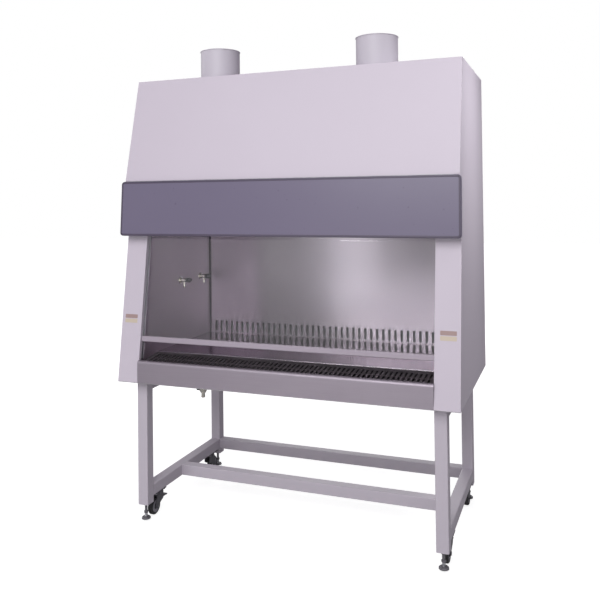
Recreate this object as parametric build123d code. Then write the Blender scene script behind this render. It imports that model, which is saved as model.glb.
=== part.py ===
"""Class II biosafety cabinet with a counterbalanced sliding sash, on a tubular stand.

Millimetres. +X is the user's right, -Y is the front, +Z is up. The origin lies on the floor under
the middle of the object. Each sub-part is its own solid or group of solids in parts/NAME.step.
"""
import os
from math import atan2, cos, degrees, radians, sin, tan

from build123d import *

# ---- overall sizes ----
BODY_WIDTH = 1500.0
BODY_DEPTH = 810.0
STAND_TOP = 632.0  # underside of the cabinet
BODY_TOP = 1990.0
SHEET = 2.0  # every folded panel
FIT_GAP = 0.5  # between parts that are put in by hand
SLIDE_GAP = 0.4  # each side of a sliding part
SHAFT_GAP = 0.05  # radial, round a pin or shaft

# ---- outline of the side panels, measured from the front edge and the floor ----
LEAN = 8.0  # degrees that the sash and columns lean back
HEADER_BOTTOM = 1276.0
HEADER_TOP = 1519.0
HEADER_BOTTOM_SETBACK = 52.0
HEADER_TOP_SETBACK = 69.0
ROOF_SETBACK = 183.0
PANEL_RIM = 15.0  # depth of the folded rim of a side panel
REAR_RECESS = 5.0  # the rear panel lies this far inside the side panels

# ---- work chamber ----
COLUMN_WIDTH = 100.0  # chamber wall to the outer face of the body
CHAMBER_TOP = 1290.0
REAR_DUCT = 122.0  # front face of the back wall, from the rear edge
BACK_SLOT_WIDTH = 13.0
BACK_SLOT_HEIGHT = 55.0
BACK_SLOT_PITCH = 30.0
BACK_SLOT_BOTTOM = 745.0
SILL_TOP = 730.0
SILL_DEPTH = 18.0
SILL_RADIUS = 12.0
WORK_SURFACE = 740.0
TRAY_DEPTH = 20.0  # folded edge of the lift-out tray
TRAY_FRONT = 172.0
LEDGE = 20.0
GRILLE_DROP = 14.0  # the intake grille starts this far under the sill's top
GRILLE_SLOT = (9.0, 46.0)
GRILLE_SLOT_PITCH = 20.0
GRILLE_ROWS = 2
GRILLE_LIP = 30.0
PAN_WALL_TOP = 700.0

# ---- header cover and its hinge ----
COVER_OVERHANG = 8.0  # past the body on each side
COVER_DEPTH = 17.5
COVER_CORNER = 14.0
COVER_EDGE = 5.0  # rounding between its face and its returns
HEADER_PLATE_SETBACK = 6.0  # behind the edge of the side panels
COLUMN_TONGUE = 40.0  # the columns' inner fold runs this far up behind the header
HINGE_FROM_SIDE = 250.0
HINGE_PIN_RADIUS = 2.5
HINGE_KNUCKLE_RADIUS = 5.0
HINGE_KNUCKLE_LENGTH = 20.0
HINGE_DROP = 8.0  # pin under the cover's top edge
HINGE_SETBACK = 62.0

# ---- sash ----
GLASS = 6.0
GLASS_LENGTH = 620.0
GLASS_FRONT = 24.0  # behind the face of the columns
SASH_REST = 180.0  # bottom of the handle above the base, along the slope
HANDLE_HEIGHT = 24.0
HANDLE_FRONT = 8.0
HANDLE_BACK = 34.0
GUIDE_WIDTH = 23.0
GUIDE_GROOVE = 14.0
GUIDE_LIP = 7.0
TOP_RAIL_HEIGHT = 24.0
ARM_FROM_SIDE = 34.0  # end of a cable arm, from the outer face of the body
ARM_THICKNESS = 8.0

# ---- sash balance ----
BALANCE_FROM_SIDE = 41.0
CABLE_RADIUS = 1.5
CABLE_DEPTH = 10.0  # cable behind the face of the columns
PULLEY_WRAP_RADIUS = 40.0
PULLEY_RIM_RADIUS = 44.0
PULLEY_WIDTH = 14.0
PULLEY_AXLE_RADIUS = 6.0
PULLEY_SLOPE_HEIGHT = 1260.0  # tangent point along the slope
WEIGHT_SIZE = (45.0, 60.0, 410.0)
WEIGHT_BOTTOM = 1325.0
BALANCE_BOTTOM = 935.0
BALANCE_TOP = 1900.0

# ---- air system ----
PLENUM_OVERLAP = 12.0  # past the chamber's inside on each side
PLENUM_FRONT = 222.0
PLENUM_TOP = 1840.0
SUPPLY_FILTER_HEIGHT = 100.0
DIFFUSER_SLOT = (30.0, 100.0)
DIFFUSER_PITCH = (50.0, 103.0)
DIFFUSER_ROWS = 3
FILTER_FRAME = 18.0
FILTER_LEDGE = 30.0
PLEAT_PITCH = 20.0
PLEAT_THICKNESS = 1.2
COLLAR_FROM_SIDE = 375.0
COLLAR_SETBACK = 290.0  # centre of the exhaust collars, from the front edge
COLLAR_RADIUS = 90.0
COLLAR_HEIGHT = 130.0
COLLAR_FLANGE = (106.0, 3.0)
EXHAUST_FILTER_WIDTH = 440.0
EXHAUST_FILTER_SETIN = 11.0  # its rear, in front of the back wall
EXHAUST_FILTER_HEIGHT = 100.0
HOOD_FRONT = 194.0
BLOWER_HEIGHT = 1620.0
IMPELLER_RADIUS = 120.0
IMPELLER_WIDTH = 90.0
BLADES = 24
SCROLL_WIDTH = 120.0
SCROLL_START = 132.0
SCROLL_END = 185.0
MOTOR_RADIUS = 62.0
MOTOR_SHAFT_RADIUS = 6.0

# ---- lamps, valves and electrics ----
LAMP_RADIUS = 13.0
LAMP_END_GAP = 60.0  # to the chamber wall
LAMP_HOLDER = 16.0
REFLECTOR_HEIGHT = 48.0
REFLECTOR_DEPTH = (72.0, 58.0)  # at its bottom and top
UV_RADIUS = 8.0
UV_END_GAP = 210.0  # to the chamber wall
UV_HOLDER = 14.0
UV_HEIGHT = 1262.0
COCK_SETBACKS = (380.0, 579.0)
COCK_HEIGHT = 1043.0
COCK_FLANGE = (17.0, 4.0)
COCK_BARREL = (10.0, 36.0)
COCK_STEM = (6.0, 48.0)
COCK_TAIL_REACH = 22.0  # hose tail, from the wall
COCK_TAIL_LENGTH = 28.0
COCK_HUB = (11.0, 16.0)
COCK_WING = (58.0, 13.0)
COCK_BARB_RADIUS = 5.0
DRAIN_X = -393.0
DRAIN_SETBACK = 127.0
DRAIN_BARB_RADIUS = 8.0
DRAIN_STEM_RADIUS = 4.0
DRAIN_LEVER = 92.0
INLET_FROM_SIDE = 190.0
INLET_HEIGHT = 1500.0
CONTROL_BOX_SIZE = (520.0, 140.0, 30.0)
CONTROL_BOX_RISE = 45.0  # above the header
CONTROL_LID = (8.0, 3.0)  # inset and thickness
INLET_SIZE = (62.0, 34.0)
SOCKET_SIZE = (25.0, 17.0)
ROCKER_SIZE = (14.0, 20.0)

# ---- stand ----
TUBE = 50.0
TUBE_WALL = 2.0
TUBE_CORNER = 4.0
LEG_INSET = 60.0  # outer face of a leg, from the outer face of the body
FRONT_LEG = 60.0  # front face of the front legs, from the front edge
REAR_LEG_INSET = 2.0  # rear face of the rear legs, from the rear edge
LEG_BOTTOM = 75.0
LOW_RAIL_BOTTOM = 102.0
MID_RAIL_FRONT = 364.0
FOOT_STUD_RADIUS = 6.0
FOOT_PAD_RADIUS = 20.0
FOOT_PAD_HEIGHT = 8.0
FOOT_LIFT = 7.0
LEG_PLUG = 22.0

# ---- casters ----
WHEEL_RADIUS = 37.5
WHEEL_WIDTH = 25.0
WHEEL_AXLE_RADIUS = 6.0
CASTER_TRAIL = 25.0
CASTER_FROM_LEG = 65.0  # kingpin to the leg's face
CASTER_PLATE = (50.0, 84.0, 4.0)
KINGPIN_RADIUS = 6.0
FORK_SHEET = 3.0
PEDAL_REACH = 72.0

HALF_BODY = BODY_WIDTH / 2
HALF_CHAMBER = HALF_BODY - COLUMN_WIDTH
CHAMBER_WIDTH = 2 * HALF_CHAMBER
BACK_WALL = BODY_DEPTH - REAR_DUCT
REAR_LEG_BACK = BODY_DEPTH - REAR_LEG_INSET
LEG_OUTER_X = HALF_BODY - LEG_INSET
HINGE_X = HALF_BODY - HINGE_FROM_SIDE
ARM_HALF_WIDTH = HALF_BODY - ARM_FROM_SIDE
BALANCE_X = HALF_BODY - BALANCE_FROM_SIDE
PLENUM_HALF_WIDTH = HALF_CHAMBER + PLENUM_OVERLAP
COLLAR_X = HALF_BODY - COLLAR_FROM_SIDE
INLET_X = HALF_BODY - INLET_FROM_SIDE
LAMP_HALF_LENGTH = HALF_CHAMBER - LAMP_END_GAP
UV_HALF_LENGTH = HALF_CHAMBER - UV_END_GAP
EXHAUST_FILTER_SIZE = (EXHAUST_FILTER_WIDTH, BACK_WALL - PLENUM_FRONT - EXHAUST_FILTER_SETIN)
HALF_INSIDE = HALF_BODY - SHEET
FRONT = -BODY_DEPTH / 2
LEAN_SIN = sin(radians(LEAN))
LEAN_COS = cos(radians(LEAN))
SLOPE = Plane(
    origin=(0, FRONT, STAND_TOP), x_dir=(1, 0, 0), z_dir=(0, -LEAN_COS, LEAN_SIN)
)


def setback(distance):
    """Y of a place measured back from the front edge."""
    return FRONT + distance


def lean_y(height, behind=0.0):
    """Y at a height on the plane that lies behind the face of the columns."""
    return FRONT + (height - STAND_TOP) * tan(radians(LEAN)) + behind / LEAN_COS


def block(x, y, z):
    """Box between pairs of coordinates."""
    size = Box(x[1] - x[0], y[1] - y[0], z[1] - z[0])
    return Pos((x[0] + x[1]) / 2, (y[0] + y[1]) / 2, (z[0] + z[1]) / 2) * size


def slope_block(x, along, behind):
    """Box in the leaning frame: along the slope, and behind the face of the columns."""
    return SLOPE.location * block(x, along, (-behind[1], -behind[0]))


def across(points, x_start, x_end):
    """Profile in the YZ plane, extruded from one X to another."""
    face = make_face(Polyline(*points, close=True))
    placed = Plane.YZ.offset(x_start) * face
    return extrude(placed, amount=x_end - x_start)


def rod(radius, start, end):
    """Cylinder from one point to another."""
    axis = Vector(*end) - Vector(*start)
    plane = Plane(origin=start, z_dir=axis)
    return extrude(plane * Circle(radius), amount=axis.length)


def mirrored(shape):
    """The same shape on the other side of the middle plane."""
    return mirror(shape, about=Plane.YZ)


def save(name, *solids):
    """Write one node: its solids, each at its place in the part."""
    kept = [solid for shape in solids for solid in shape.solids()]
    export_step(Compound(children=kept) if len(kept) > 1 else kept[0], f"parts/{name}.step")


# ---- outer panels ----
def side_outline(rear, inset):
    """Outline of a side panel in the YZ plane, as a face, moved inwards by inset."""
    column_top = lean_y(HEADER_BOTTOM)
    points = [
        (FRONT, STAND_TOP),
        (rear, STAND_TOP),
        (rear, BODY_TOP),
        (setback(ROOF_SETBACK), BODY_TOP),
        (setback(HEADER_TOP_SETBACK), HEADER_TOP),
        (setback(HEADER_BOTTOM_SETBACK), HEADER_BOTTOM),
        (column_top, HEADER_BOTTOM),
    ]
    face = make_face(Polyline(*points, close=True))
    if inset:
        face = offset(face, amount=-inset, kind=Kind.INTERSECTION)
    return face


def side_panel():
    """Right side panel: a flat skin with a rim folded inwards all round."""
    rear = -FRONT
    recessed = rear - REAR_RECESS
    skin = extrude(Plane.YZ.offset(HALF_INSIDE) * side_outline(rear, 0), amount=SHEET)
    rim_start = Plane.YZ.offset(HALF_INSIDE - PANEL_RIM)
    rim_face = side_outline(recessed, SHEET) - side_outline(recessed, 2 * SHEET)
    return skin + extrude(rim_start * rim_face, amount=PANEL_RIM)


REAR_FACE = -FRONT - REAR_RECESS


def rear_panel():
    """Flat rear panel with the hole for the power inlet."""
    panel = block(
        (-HALF_INSIDE, HALF_INSIDE),
        (REAR_FACE - SHEET, REAR_FACE),
        (STAND_TOP, BODY_TOP - SHEET),
    )
    hole = block(
        (INLET_X - INLET_SIZE[0] / 2 + 4, INLET_X + INLET_SIZE[0] / 2 - 4),
        (REAR_FACE - 2 * SHEET, REAR_FACE + SHEET),
        (INLET_HEIGHT - INLET_SIZE[1] / 2 + 4, INLET_HEIGHT + INLET_SIZE[1] / 2 - 4),
    )
    return panel - hole


def rear_screws():
    """Pan-head screws round the rear panel, on its outer face."""
    head = Pos(0, REAR_FACE, 0) * Rot(-90, 0, 0) * extrude(Circle(5), amount=2.4)
    x = HALF_INSIDE - PANEL_RIM / 2
    heights = [STAND_TOP + 60 + i * (BODY_TOP - STAND_TOP - 120) / 4 for i in range(5)]
    places = [(side * x, z) for side in (-1, 1) for z in heights]
    places += [(side * x / 2, z) for side in (-1, 1) for z in (heights[0] - 40, heights[-1] + 40)]
    return [Pos(x, 0, z) * head for x, z in places]


def roof_panel():
    """Flat roof with a round hole under each exhaust collar."""
    roof = block(
        (-HALF_INSIDE, HALF_INSIDE), (setback(ROOF_SETBACK), -FRONT), (BODY_TOP - SHEET, BODY_TOP)
    )
    for side in (-1, 1):
        place = Pos(side * COLLAR_X, setback(COLLAR_SETBACK), BODY_TOP - SHEET / 2)
        roof -= place * Cylinder(COLLAR_RADIUS - SHEET, 2 * SHEET)
    return roof


def exhaust_collar():
    """Right exhaust collar: tube with a rolled bead near its top and a flange on the roof."""
    inner = COLLAR_RADIUS - SHEET
    flange_radius, flange = COLLAR_FLANGE
    section = Polyline(
        (inner, 0),
        (flange_radius, 0),
        (flange_radius, flange),
        (COLLAR_RADIUS, flange),
        (COLLAR_RADIUS, COLLAR_HEIGHT),
        (inner, COLLAR_HEIGHT),
        close=True,
    )
    tube = revolve(make_face(Plane.XZ * section), axis=Axis.Z)
    return Pos(COLLAR_X, setback(COLLAR_SETBACK), BODY_TOP) * tube


def front_upper_panel():
    """Sloped panel from the header up to the roof, with a fold at its foot."""
    rise = BODY_TOP - HEADER_TOP
    slope = (ROOF_SETBACK - HEADER_TOP_SETBACK) / rise
    thick = SHEET * (1 + slope * slope) ** 0.5
    foot = HEADER_TOP + SHEET
    top = BODY_TOP - SHEET

    def edge(height, behind=0.0):
        return setback(HEADER_TOP_SETBACK + slope * (height - HEADER_TOP)) + behind

    points = [
        (edge(foot), foot),
        (edge(top), top),
        (edge(top, thick), top),
        (edge(foot, thick), foot),
    ]
    return across(points, -HALF_INSIDE, HALF_INSIDE)


def columns():
    """Right column beside the opening: a folded channel that leans with the sash."""
    face_along = (-10, (HEADER_BOTTOM - STAND_TOP) / LEAN_COS)
    fold_along = (-10, (HEADER_BOTTOM + COLUMN_TONGUE - STAND_TOP) / LEAN_COS)
    inner = HALF_CHAMBER
    lip = GLASS_FRONT - GUIDE_LIP + 1
    folded = slope_block((inner, HALF_INSIDE), face_along, (0, SHEET))
    folded += slope_block((inner, inner + SHEET), fold_along, (SHEET / 2, lip))
    folded += slope_block((inner, inner + SHEET + GUIDE_WIDTH), fold_along, (lip - SHEET, lip))
    above = block((0, HALF_BODY), (FRONT - 20, 0), (STAND_TOP + SHEET, BODY_TOP))
    return folded & above


def front_sill():
    """Front sill between the columns: rounded over its top edge, folded down behind."""
    depth = setback(SILL_DEPTH)
    outer = make_face(
        Polyline(
            (FRONT, STAND_TOP + SHEET),
            (FRONT, SILL_TOP),
            (depth, SILL_TOP),
            (depth, STAND_TOP + SHEET),
            close=True,
        )
    )
    outer = fillet(outer.vertices().sort_by(Axis.Y)[-2:].sort_by(Axis.X)[0], SILL_RADIUS)
    inner = offset(outer, amount=-SHEET, kind=Kind.INTERSECTION)
    core = inner + Pos(0, -2 * SHEET, 0) * inner
    skirt_hole = make_face(
        Polyline(
            (depth - 2 * SHEET, STAND_TOP),
            (depth + SHEET, STAND_TOP),
            (depth + SHEET, SILL_TOP - 30),
            (depth - 2 * SHEET, SILL_TOP - 30),
            close=True,
        )
    )
    section = outer - core - skirt_hole
    return extrude(Plane.YZ.offset(-HALF_CHAMBER) * section, amount=CHAMBER_WIDTH)


# ---- header and its cover ----
def header_edge(height, behind):
    """Y behind the front edge of the side panels at the header."""
    share = (height - HEADER_BOTTOM) / (HEADER_TOP - HEADER_BOTTOM)
    step = HEADER_TOP_SETBACK - HEADER_BOTTOM_SETBACK
    return setback(HEADER_BOTTOM_SETBACK + share * step) + behind


def hinge_pin_height():
    """Height of the cover's hinge pins."""
    return HEADER_TOP - HINGE_DROP


def knuckle(x_centre, length, radius):
    """Cylinder along X on the hinge axis."""
    pin_y, pin_z = setback(HINGE_SETBACK), hinge_pin_height()
    start = (x_centre - length / 2, pin_y, pin_z)
    return rod(radius, start, (x_centre + length / 2, pin_y, pin_z))


def header_frame():
    """Plate behind the cover, with its folds and the fixed barrels of the long hinge."""
    back = HEADER_PLATE_SETBACK
    half = HALF_INSIDE - PANEL_RIM
    plate = across(
        [
            (header_edge(HEADER_BOTTOM, back), HEADER_BOTTOM),
            (header_edge(HEADER_TOP, back), HEADER_TOP),
            (header_edge(HEADER_TOP, back + SHEET), HEADER_TOP),
            (header_edge(HEADER_BOTTOM, back + SHEET), HEADER_BOTTOM),
        ],
        -half,
        half,
    )
    top_fold = block(
        (-half, half),
        (header_edge(HEADER_TOP, FIT_GAP), header_edge(HEADER_TOP, back + SHEET)),
        (HEADER_TOP, HEADER_TOP + SHEET),
    )
    glass_y = lean_y(HEADER_BOTTOM, GLASS_FRONT - 4)
    column_y = lean_y(HEADER_BOTTOM)
    fold_z = (HEADER_BOTTOM, HEADER_BOTTOM + SHEET)
    front_y = header_edge(HEADER_BOTTOM, back)
    bottom = block((-HALF_INSIDE, HALF_INSIDE), (front_y, column_y), fold_z)
    bottom += block((-HALF_CHAMBER, HALF_CHAMBER), (front_y, glass_y), fold_z)
    frame = plate + top_fold + bottom
    pin_y, pin_z = setback(HINGE_SETBACK), hinge_pin_height()
    plate_y = header_edge(pin_z, back + SHEET / 2)
    near = HINGE_X - HINGE_KNUCKLE_LENGTH / 2 - SLIDE_GAP
    far = HINGE_X + HINGE_KNUCKLE_LENGTH / 2 + SLIDE_GAP
    for start, end in ((-half, -far), (-near, near), (far, half)):
        leaf = block((start, end), (pin_y, plate_y), (pin_z - SHEET, pin_z + SHEET))
        frame += knuckle((start + end) / 2, end - start, HINGE_KNUCKLE_RADIUS) + leaf
    for side in (-1, 1):
        frame += knuckle(side * HINGE_X, far - near, HINGE_PIN_RADIUS)
    return frame


def header_cover():
    """Slate cover: a shallow tray with rounded corners that hangs on its hinge pins."""
    half = HALF_BODY + COVER_OVERHANG
    front_top = header_edge(HEADER_TOP, -COVER_DEPTH)
    front_bottom = header_edge(HEADER_BOTTOM, -COVER_DEPTH)
    height = ((HEADER_TOP - HEADER_BOTTOM) ** 2 + (front_top - front_bottom) ** 2) ** 0.5
    tilt = degrees(atan2(front_top - front_bottom, HEADER_TOP - HEADER_BOTTOM))
    middle = ((front_top + front_bottom) / 2, (HEADER_TOP + HEADER_BOTTOM) / 2)
    outer = RectangleRounded(2 * half, height, COVER_CORNER)
    inner = RectangleRounded(2 * (half - SHEET), height - 2 * SHEET, COVER_CORNER - SHEET)
    shell = extrude(outer, amount=COVER_DEPTH - 1)
    shell = fillet(shell.edges().group_by(Axis.Z)[0], COVER_EDGE)
    hollow = extrude(inner, amount=COVER_DEPTH)
    hollow = fillet(hollow.edges().group_by(Axis.Z)[0], COVER_EDGE - SHEET)
    tray = shell - Pos(0, 0, SHEET) * hollow
    tray = Pos(0, middle[0], middle[1]) * Rot(-90 - tilt, 0, 0) * Rot(0, 0, 180) * tray
    pin_y = setback(HINGE_SETBACK)
    clear = HALF_BODY + SLIDE_GAP
    behind_pin = block(
        (-clear, clear),
        (pin_y - HINGE_KNUCKLE_RADIUS - SLIDE_GAP, pin_y + COVER_DEPTH),
        (HEADER_TOP - COVER_CORNER, HEADER_TOP + COVER_CORNER),
    )
    cover = tray - behind_pin
    for side in (-1, 1):
        x = side * HINGE_X
        half_length = HINGE_KNUCKLE_LENGTH / 2
        skin_y = header_edge(hinge_pin_height(), SHEET / 2 - COVER_DEPTH)
        web = block(
            (x - half_length, x + half_length),
            (skin_y, pin_y),
            (hinge_pin_height() - HINGE_KNUCKLE_RADIUS, hinge_pin_height() + HINGE_KNUCKLE_RADIUS),
        )
        cover += knuckle(x, HINGE_KNUCKLE_LENGTH, HINGE_KNUCKLE_RADIUS) + web
        cover -= knuckle(x, HINGE_KNUCKLE_LENGTH + 2, HINGE_PIN_RADIUS + SHAFT_GAP)
    return cover


# ---- work chamber ----
def chamber_side():
    """Right chamber wall: slanted front edge behind the sash guide, ledge for the work tray."""
    foot = STAND_TOP + 2 * SHEET
    behind = HANDLE_BACK + 4
    rear = setback(BACK_WALL)
    wall = across(
        [
            (lean_y(foot, behind), foot),
            (rear, foot),
            (rear, CHAMBER_TOP),
            (lean_y(CHAMBER_TOP, behind), CHAMBER_TOP),
        ],
        HALF_CHAMBER,
        HALF_CHAMBER + SHEET,
    )
    tray_bottom = WORK_SURFACE - TRAY_DEPTH
    ledge = block(
        (HALF_CHAMBER - LEDGE, HALF_CHAMBER),
        (setback(TRAY_FRONT), rear),
        (tray_bottom - SHEET, tray_bottom),
    )
    return wall + ledge


def row_places(width, pitch, span):
    """Centres of as many cut-outs of a width as a span holds at a pitch, about its middle."""
    count = int((span - width) // pitch) + 1
    return [(i - (count - 1) / 2) * pitch for i in range(count)]


def slot_row(width, height, pitch, span):
    """Row of slots with round ends, as a flat sketch centred on the origin."""
    slot = SlotOverall(height, width, rotation=90)
    return Sketch() + [Pos(x, 0) * slot for x in row_places(width, pitch, span)]


def chamber_back():
    """Back wall with its row of upright air slots just above the work surface."""
    wall = block(
        (-HALF_CHAMBER - SHEET, HALF_CHAMBER + SHEET),
        (setback(BACK_WALL), setback(BACK_WALL) + SHEET),
        (STAND_TOP + 2 * SHEET, CHAMBER_TOP),
    )
    middle = BACK_SLOT_BOTTOM + BACK_SLOT_HEIGHT / 2
    slots = slot_row(BACK_SLOT_WIDTH, BACK_SLOT_HEIGHT, BACK_SLOT_PITCH, CHAMBER_WIDTH - 2 * LEDGE)
    face = Plane(origin=(0, setback(BACK_WALL) - SHEET, middle), x_dir=(1, 0, 0), z_dir=(0, -1, 0))
    return wall - extrude(face * slots, amount=-4 * SHEET)


def front_grille():
    """Intake grille between the sill and the work tray, with rows of slots."""
    start = (setback(SILL_DEPTH), SILL_TOP - GRILLE_DROP)
    end = (setback(TRAY_FRONT) - FIT_GAP, WORK_SURFACE - 2 * SHEET)
    plate = across(
        [start, end, (end[0], end[1] - SHEET), (start[0], start[1] - SHEET)],
        -HALF_CHAMBER + FIT_GAP,
        HALF_CHAMBER - FIT_GAP,
    )
    lip = block(
        (-HALF_CHAMBER + FIT_GAP, HALF_CHAMBER - FIT_GAP),
        (end[0] - SHEET, end[0]),
        (end[1] - GRILLE_LIP, end[1] - SHEET),
    )
    slot_width, slot_length = GRILLE_SLOT
    depth = end[0] - start[0]
    cutters = []
    for row in range(GRILLE_ROWS):
        y = start[0] + depth * (row + 1) / (GRILLE_ROWS + 1)
        for x in row_places(slot_width, GRILLE_SLOT_PITCH, CHAMBER_WIDTH - 2 * LEDGE):
            cutters.append(Pos(x, y, SILL_TOP) * Box(slot_width, slot_length, 2 * GRILLE_LIP))
    return plate - cutters + lip


def base_pan():
    """Underside of the cabinet with its drain hole, and the spill basin's wall welded on it."""
    floor = block((-HALF_INSIDE, HALF_INSIDE), (FRONT, REAR_FACE - SHEET), (STAND_TOP, STAND_TOP + SHEET))
    inner = HALF_CHAMBER - FIT_GAP
    front, rear = setback(SILL_DEPTH) + FIT_GAP, setback(BACK_WALL) - FIT_GAP
    basin = (STAND_TOP + SHEET, PAN_WALL_TOP)
    walls = block((-inner, inner), (front, rear), basin)
    walls -= block((-inner + SHEET, inner - SHEET), (front + SHEET, rear - SHEET), basin)
    hole = Pos(DRAIN_X, setback(DRAIN_SETBACK), STAND_TOP) * Cylinder(DRAIN_BARB_RADIUS, 4 * SHEET)
    return [floor - hole, walls]


def work_tray():
    """Lift-out work surface: a shallow tray, upside down, with rounded long edges."""
    half = HALF_CHAMBER - FIT_GAP
    front, rear = setback(TRAY_FRONT), setback(BACK_WALL) - FIT_GAP
    z = (WORK_SURFACE - TRAY_DEPTH, WORK_SURFACE)
    tray = block((-half, half), (front, rear), z)
    long_edges = tray.edges().filter_by(Axis.X).group_by(Axis.Z)[-1]
    tray = fillet(long_edges, SHEET * 1.5)
    tray -= block(
        (-half + SHEET, half - SHEET),
        (front + SHEET, rear - SHEET),
        (z[0], z[1] - SHEET),
    )
    return tray


# ---- sash and its balance ----
SASH_TOP = SASH_REST + SHEET + GLASS_LENGTH
GLASS_BACK = GLASS_FRONT + GLASS
GLASS_HALF = HALF_CHAMBER + SHEET + GUIDE_GROOVE - SLIDE_GAP


def sash_glass():
    """Toughened glass pane."""
    along = (SASH_REST + SHEET, SASH_TOP)
    return slope_block((-GLASS_HALF, GLASS_HALF), along, (GLASS_FRONT, GLASS_BACK))


def sash_rails():
    """Handle extrusion along the glass's lower edge, and the top rail with its cable arms."""
    half = HALF_CHAMBER - 2
    along = (SASH_REST, SASH_REST + HANDLE_HEIGHT)
    handle = slope_block((-half, half), along, (HANDLE_FRONT, HANDLE_BACK))
    front_edges = handle.edges().filter_by(Axis.X).sort_by(Axis.Y)[:2]
    handle = fillet(front_edges, 4)
    finger = slope_block(
        (-half, half), (SASH_REST - 1, SASH_REST + HANDLE_HEIGHT / 3), (HANDLE_FRONT + 4, GLASS_FRONT - 4)
    )
    handle -= finger
    rail_along = (SASH_TOP - TOP_RAIL_HEIGHT / 2, SASH_TOP + TOP_RAIL_HEIGHT / 2)
    arm_depth = (CABLE_DEPTH - ARM_THICKNESS / 2, CABLE_DEPTH + ARM_THICKNESS / 2)
    rail = slope_block((-half, half), rail_along, (arm_depth[0], HANDLE_BACK))
    rail += slope_block((-ARM_HALF_WIDTH, ARM_HALF_WIDTH), rail_along, arm_depth)
    return [handle - sash_glass(), rail - sash_glass()]


def sash_guide():
    """Right sash guide: a plastic channel that the edge of the glass slides in."""
    start = (SILL_TOP + 6 - STAND_TOP) / LEAN_COS
    top = (PLENUM_TOP - STAND_TOP) / LEAN_COS
    x = (HALF_CHAMBER + SHEET, HALF_CHAMBER + SHEET + GUIDE_WIDTH)
    depth = (GLASS_FRONT - GUIDE_LIP + 1, GLASS_BACK + GUIDE_LIP)
    channel = slope_block(x, (start, top), depth)
    groove_x = (x[0] - 1, x[0] + GUIDE_GROOVE)
    groove = (GLASS_FRONT - SLIDE_GAP, GLASS_BACK + SLIDE_GAP)
    return channel - slope_block(groove_x, (start - 1, top + 1), groove)


def pulley_centre():
    """Y and Z of the pulley's axle, from the cable's tangent point on the slope."""
    local = (0, PULLEY_SLOPE_HEIGHT, -CABLE_DEPTH - PULLEY_WRAP_RADIUS)
    place = SLOPE.from_local_coords(local)
    return place.Y, place.Z


def weight_y():
    """Y of the straight cable that carries the counterweight."""
    return pulley_centre()[0] + PULLEY_WRAP_RADIUS


def pulley():
    """Right pulley: grooved wheel for the sash cable."""
    half = PULLEY_WIDTH / 2
    bore = PULLEY_AXLE_RADIUS + SHAFT_GAP
    bottom = PULLEY_WRAP_RADIUS - CABLE_RADIUS - 0.3
    section = Polyline(
        (-half, bore),
        (half, bore),
        (half, PULLEY_RIM_RADIUS),
        (CABLE_RADIUS + 1, bottom),
        (-CABLE_RADIUS - 1, bottom),
        (-half, PULLEY_RIM_RADIUS),
        close=True,
    )
    wheel = revolve(make_face(Plane.XY * section), axis=Axis.X)
    y, z = pulley_centre()
    return Pos(BALANCE_X, y, z) * wheel


def counterweight():
    """Right counterweight: steel bar with bevelled ends."""
    width, depth, height = WEIGHT_SIZE
    bar = chamfer(Box(width, depth, height).edges().filter_by(Axis.Y), 4)
    return Pos(BALANCE_X, weight_y(), WEIGHT_BOTTOM + height / 2) * bar


def balance_frame():
    """Right balance channel: guides the counterweight and carries the pulley's axle."""
    width, depth, _ = WEIGHT_SIZE
    inside = width / 2 + SLIDE_GAP
    y, z = pulley_centre()
    rear = weight_y() + depth / 2 + SLIDE_GAP
    front = weight_y() - depth / 2
    heights = (BALANCE_BOTTOM, BALANCE_TOP)
    channel = block(
        (BALANCE_X - inside - SHEET, BALANCE_X + inside + SHEET), (front, rear + SHEET), heights
    )
    channel -= block((BALANCE_X - inside, BALANCE_X + inside), (front - 1, rear), (0, BODY_TOP + 100))
    for side in (-1, 1):
        cheek_x = BALANCE_X + side * (inside + SHEET / 2)
        cheek = block(
            (cheek_x - SHEET / 2, cheek_x + SHEET / 2), (y - 12, front + 1), (z - 30, BALANCE_TOP)
        )
        channel += cheek
    outer = BALANCE_X + inside + SHEET
    for height in (BALANCE_BOTTOM + 60, (BALANCE_BOTTOM + BALANCE_TOP) / 2, BALANCE_TOP - 160):
        channel += block((outer, HALF_INSIDE), (front + 10, rear - 10), (height, height + 20))
    axle = rod(PULLEY_AXLE_RADIUS, (BALANCE_X - inside - SHEET, y, z), (outer, y, z))
    hubs = []
    for side in (-1, 1):
        near = BALANCE_X + side * (PULLEY_WIDTH / 2 + SLIDE_GAP)
        hubs.append(rod(PULLEY_AXLE_RADIUS + 4, (near, y, z), (BALANCE_X + side * inside, y, z)))
    return channel + axle + hubs


def sash_cable():
    """Right sash cable: up the slope, over the pulley and down to the counterweight."""
    y, z = pulley_centre()
    start = SLOPE.from_local_coords((BALANCE_X, SASH_TOP + TOP_RAIL_HEIGHT / 2, -CABLE_DEPTH))
    tangent = SLOPE.from_local_coords((BALANCE_X, PULLEY_SLOPE_HEIGHT, -CABLE_DEPTH))
    end = Vector(BALANCE_X, weight_y(), WEIGHT_BOTTOM + WEIGHT_SIZE[2])
    crown = Vector(BALANCE_X, weight_y(), z)
    turn = 180 - LEAN
    section = Plane(origin=crown, x_dir=(1, 0, 0), z_dir=(0, 0, 1)) * Circle(CABLE_RADIUS)
    axis = Axis((BALANCE_X, y, z), (1, 0, 0))
    over = revolve(section, axis=axis, revolution_arc=turn)
    return rod(CABLE_RADIUS, start, tangent) + over + rod(CABLE_RADIUS, crown, end)


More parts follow.
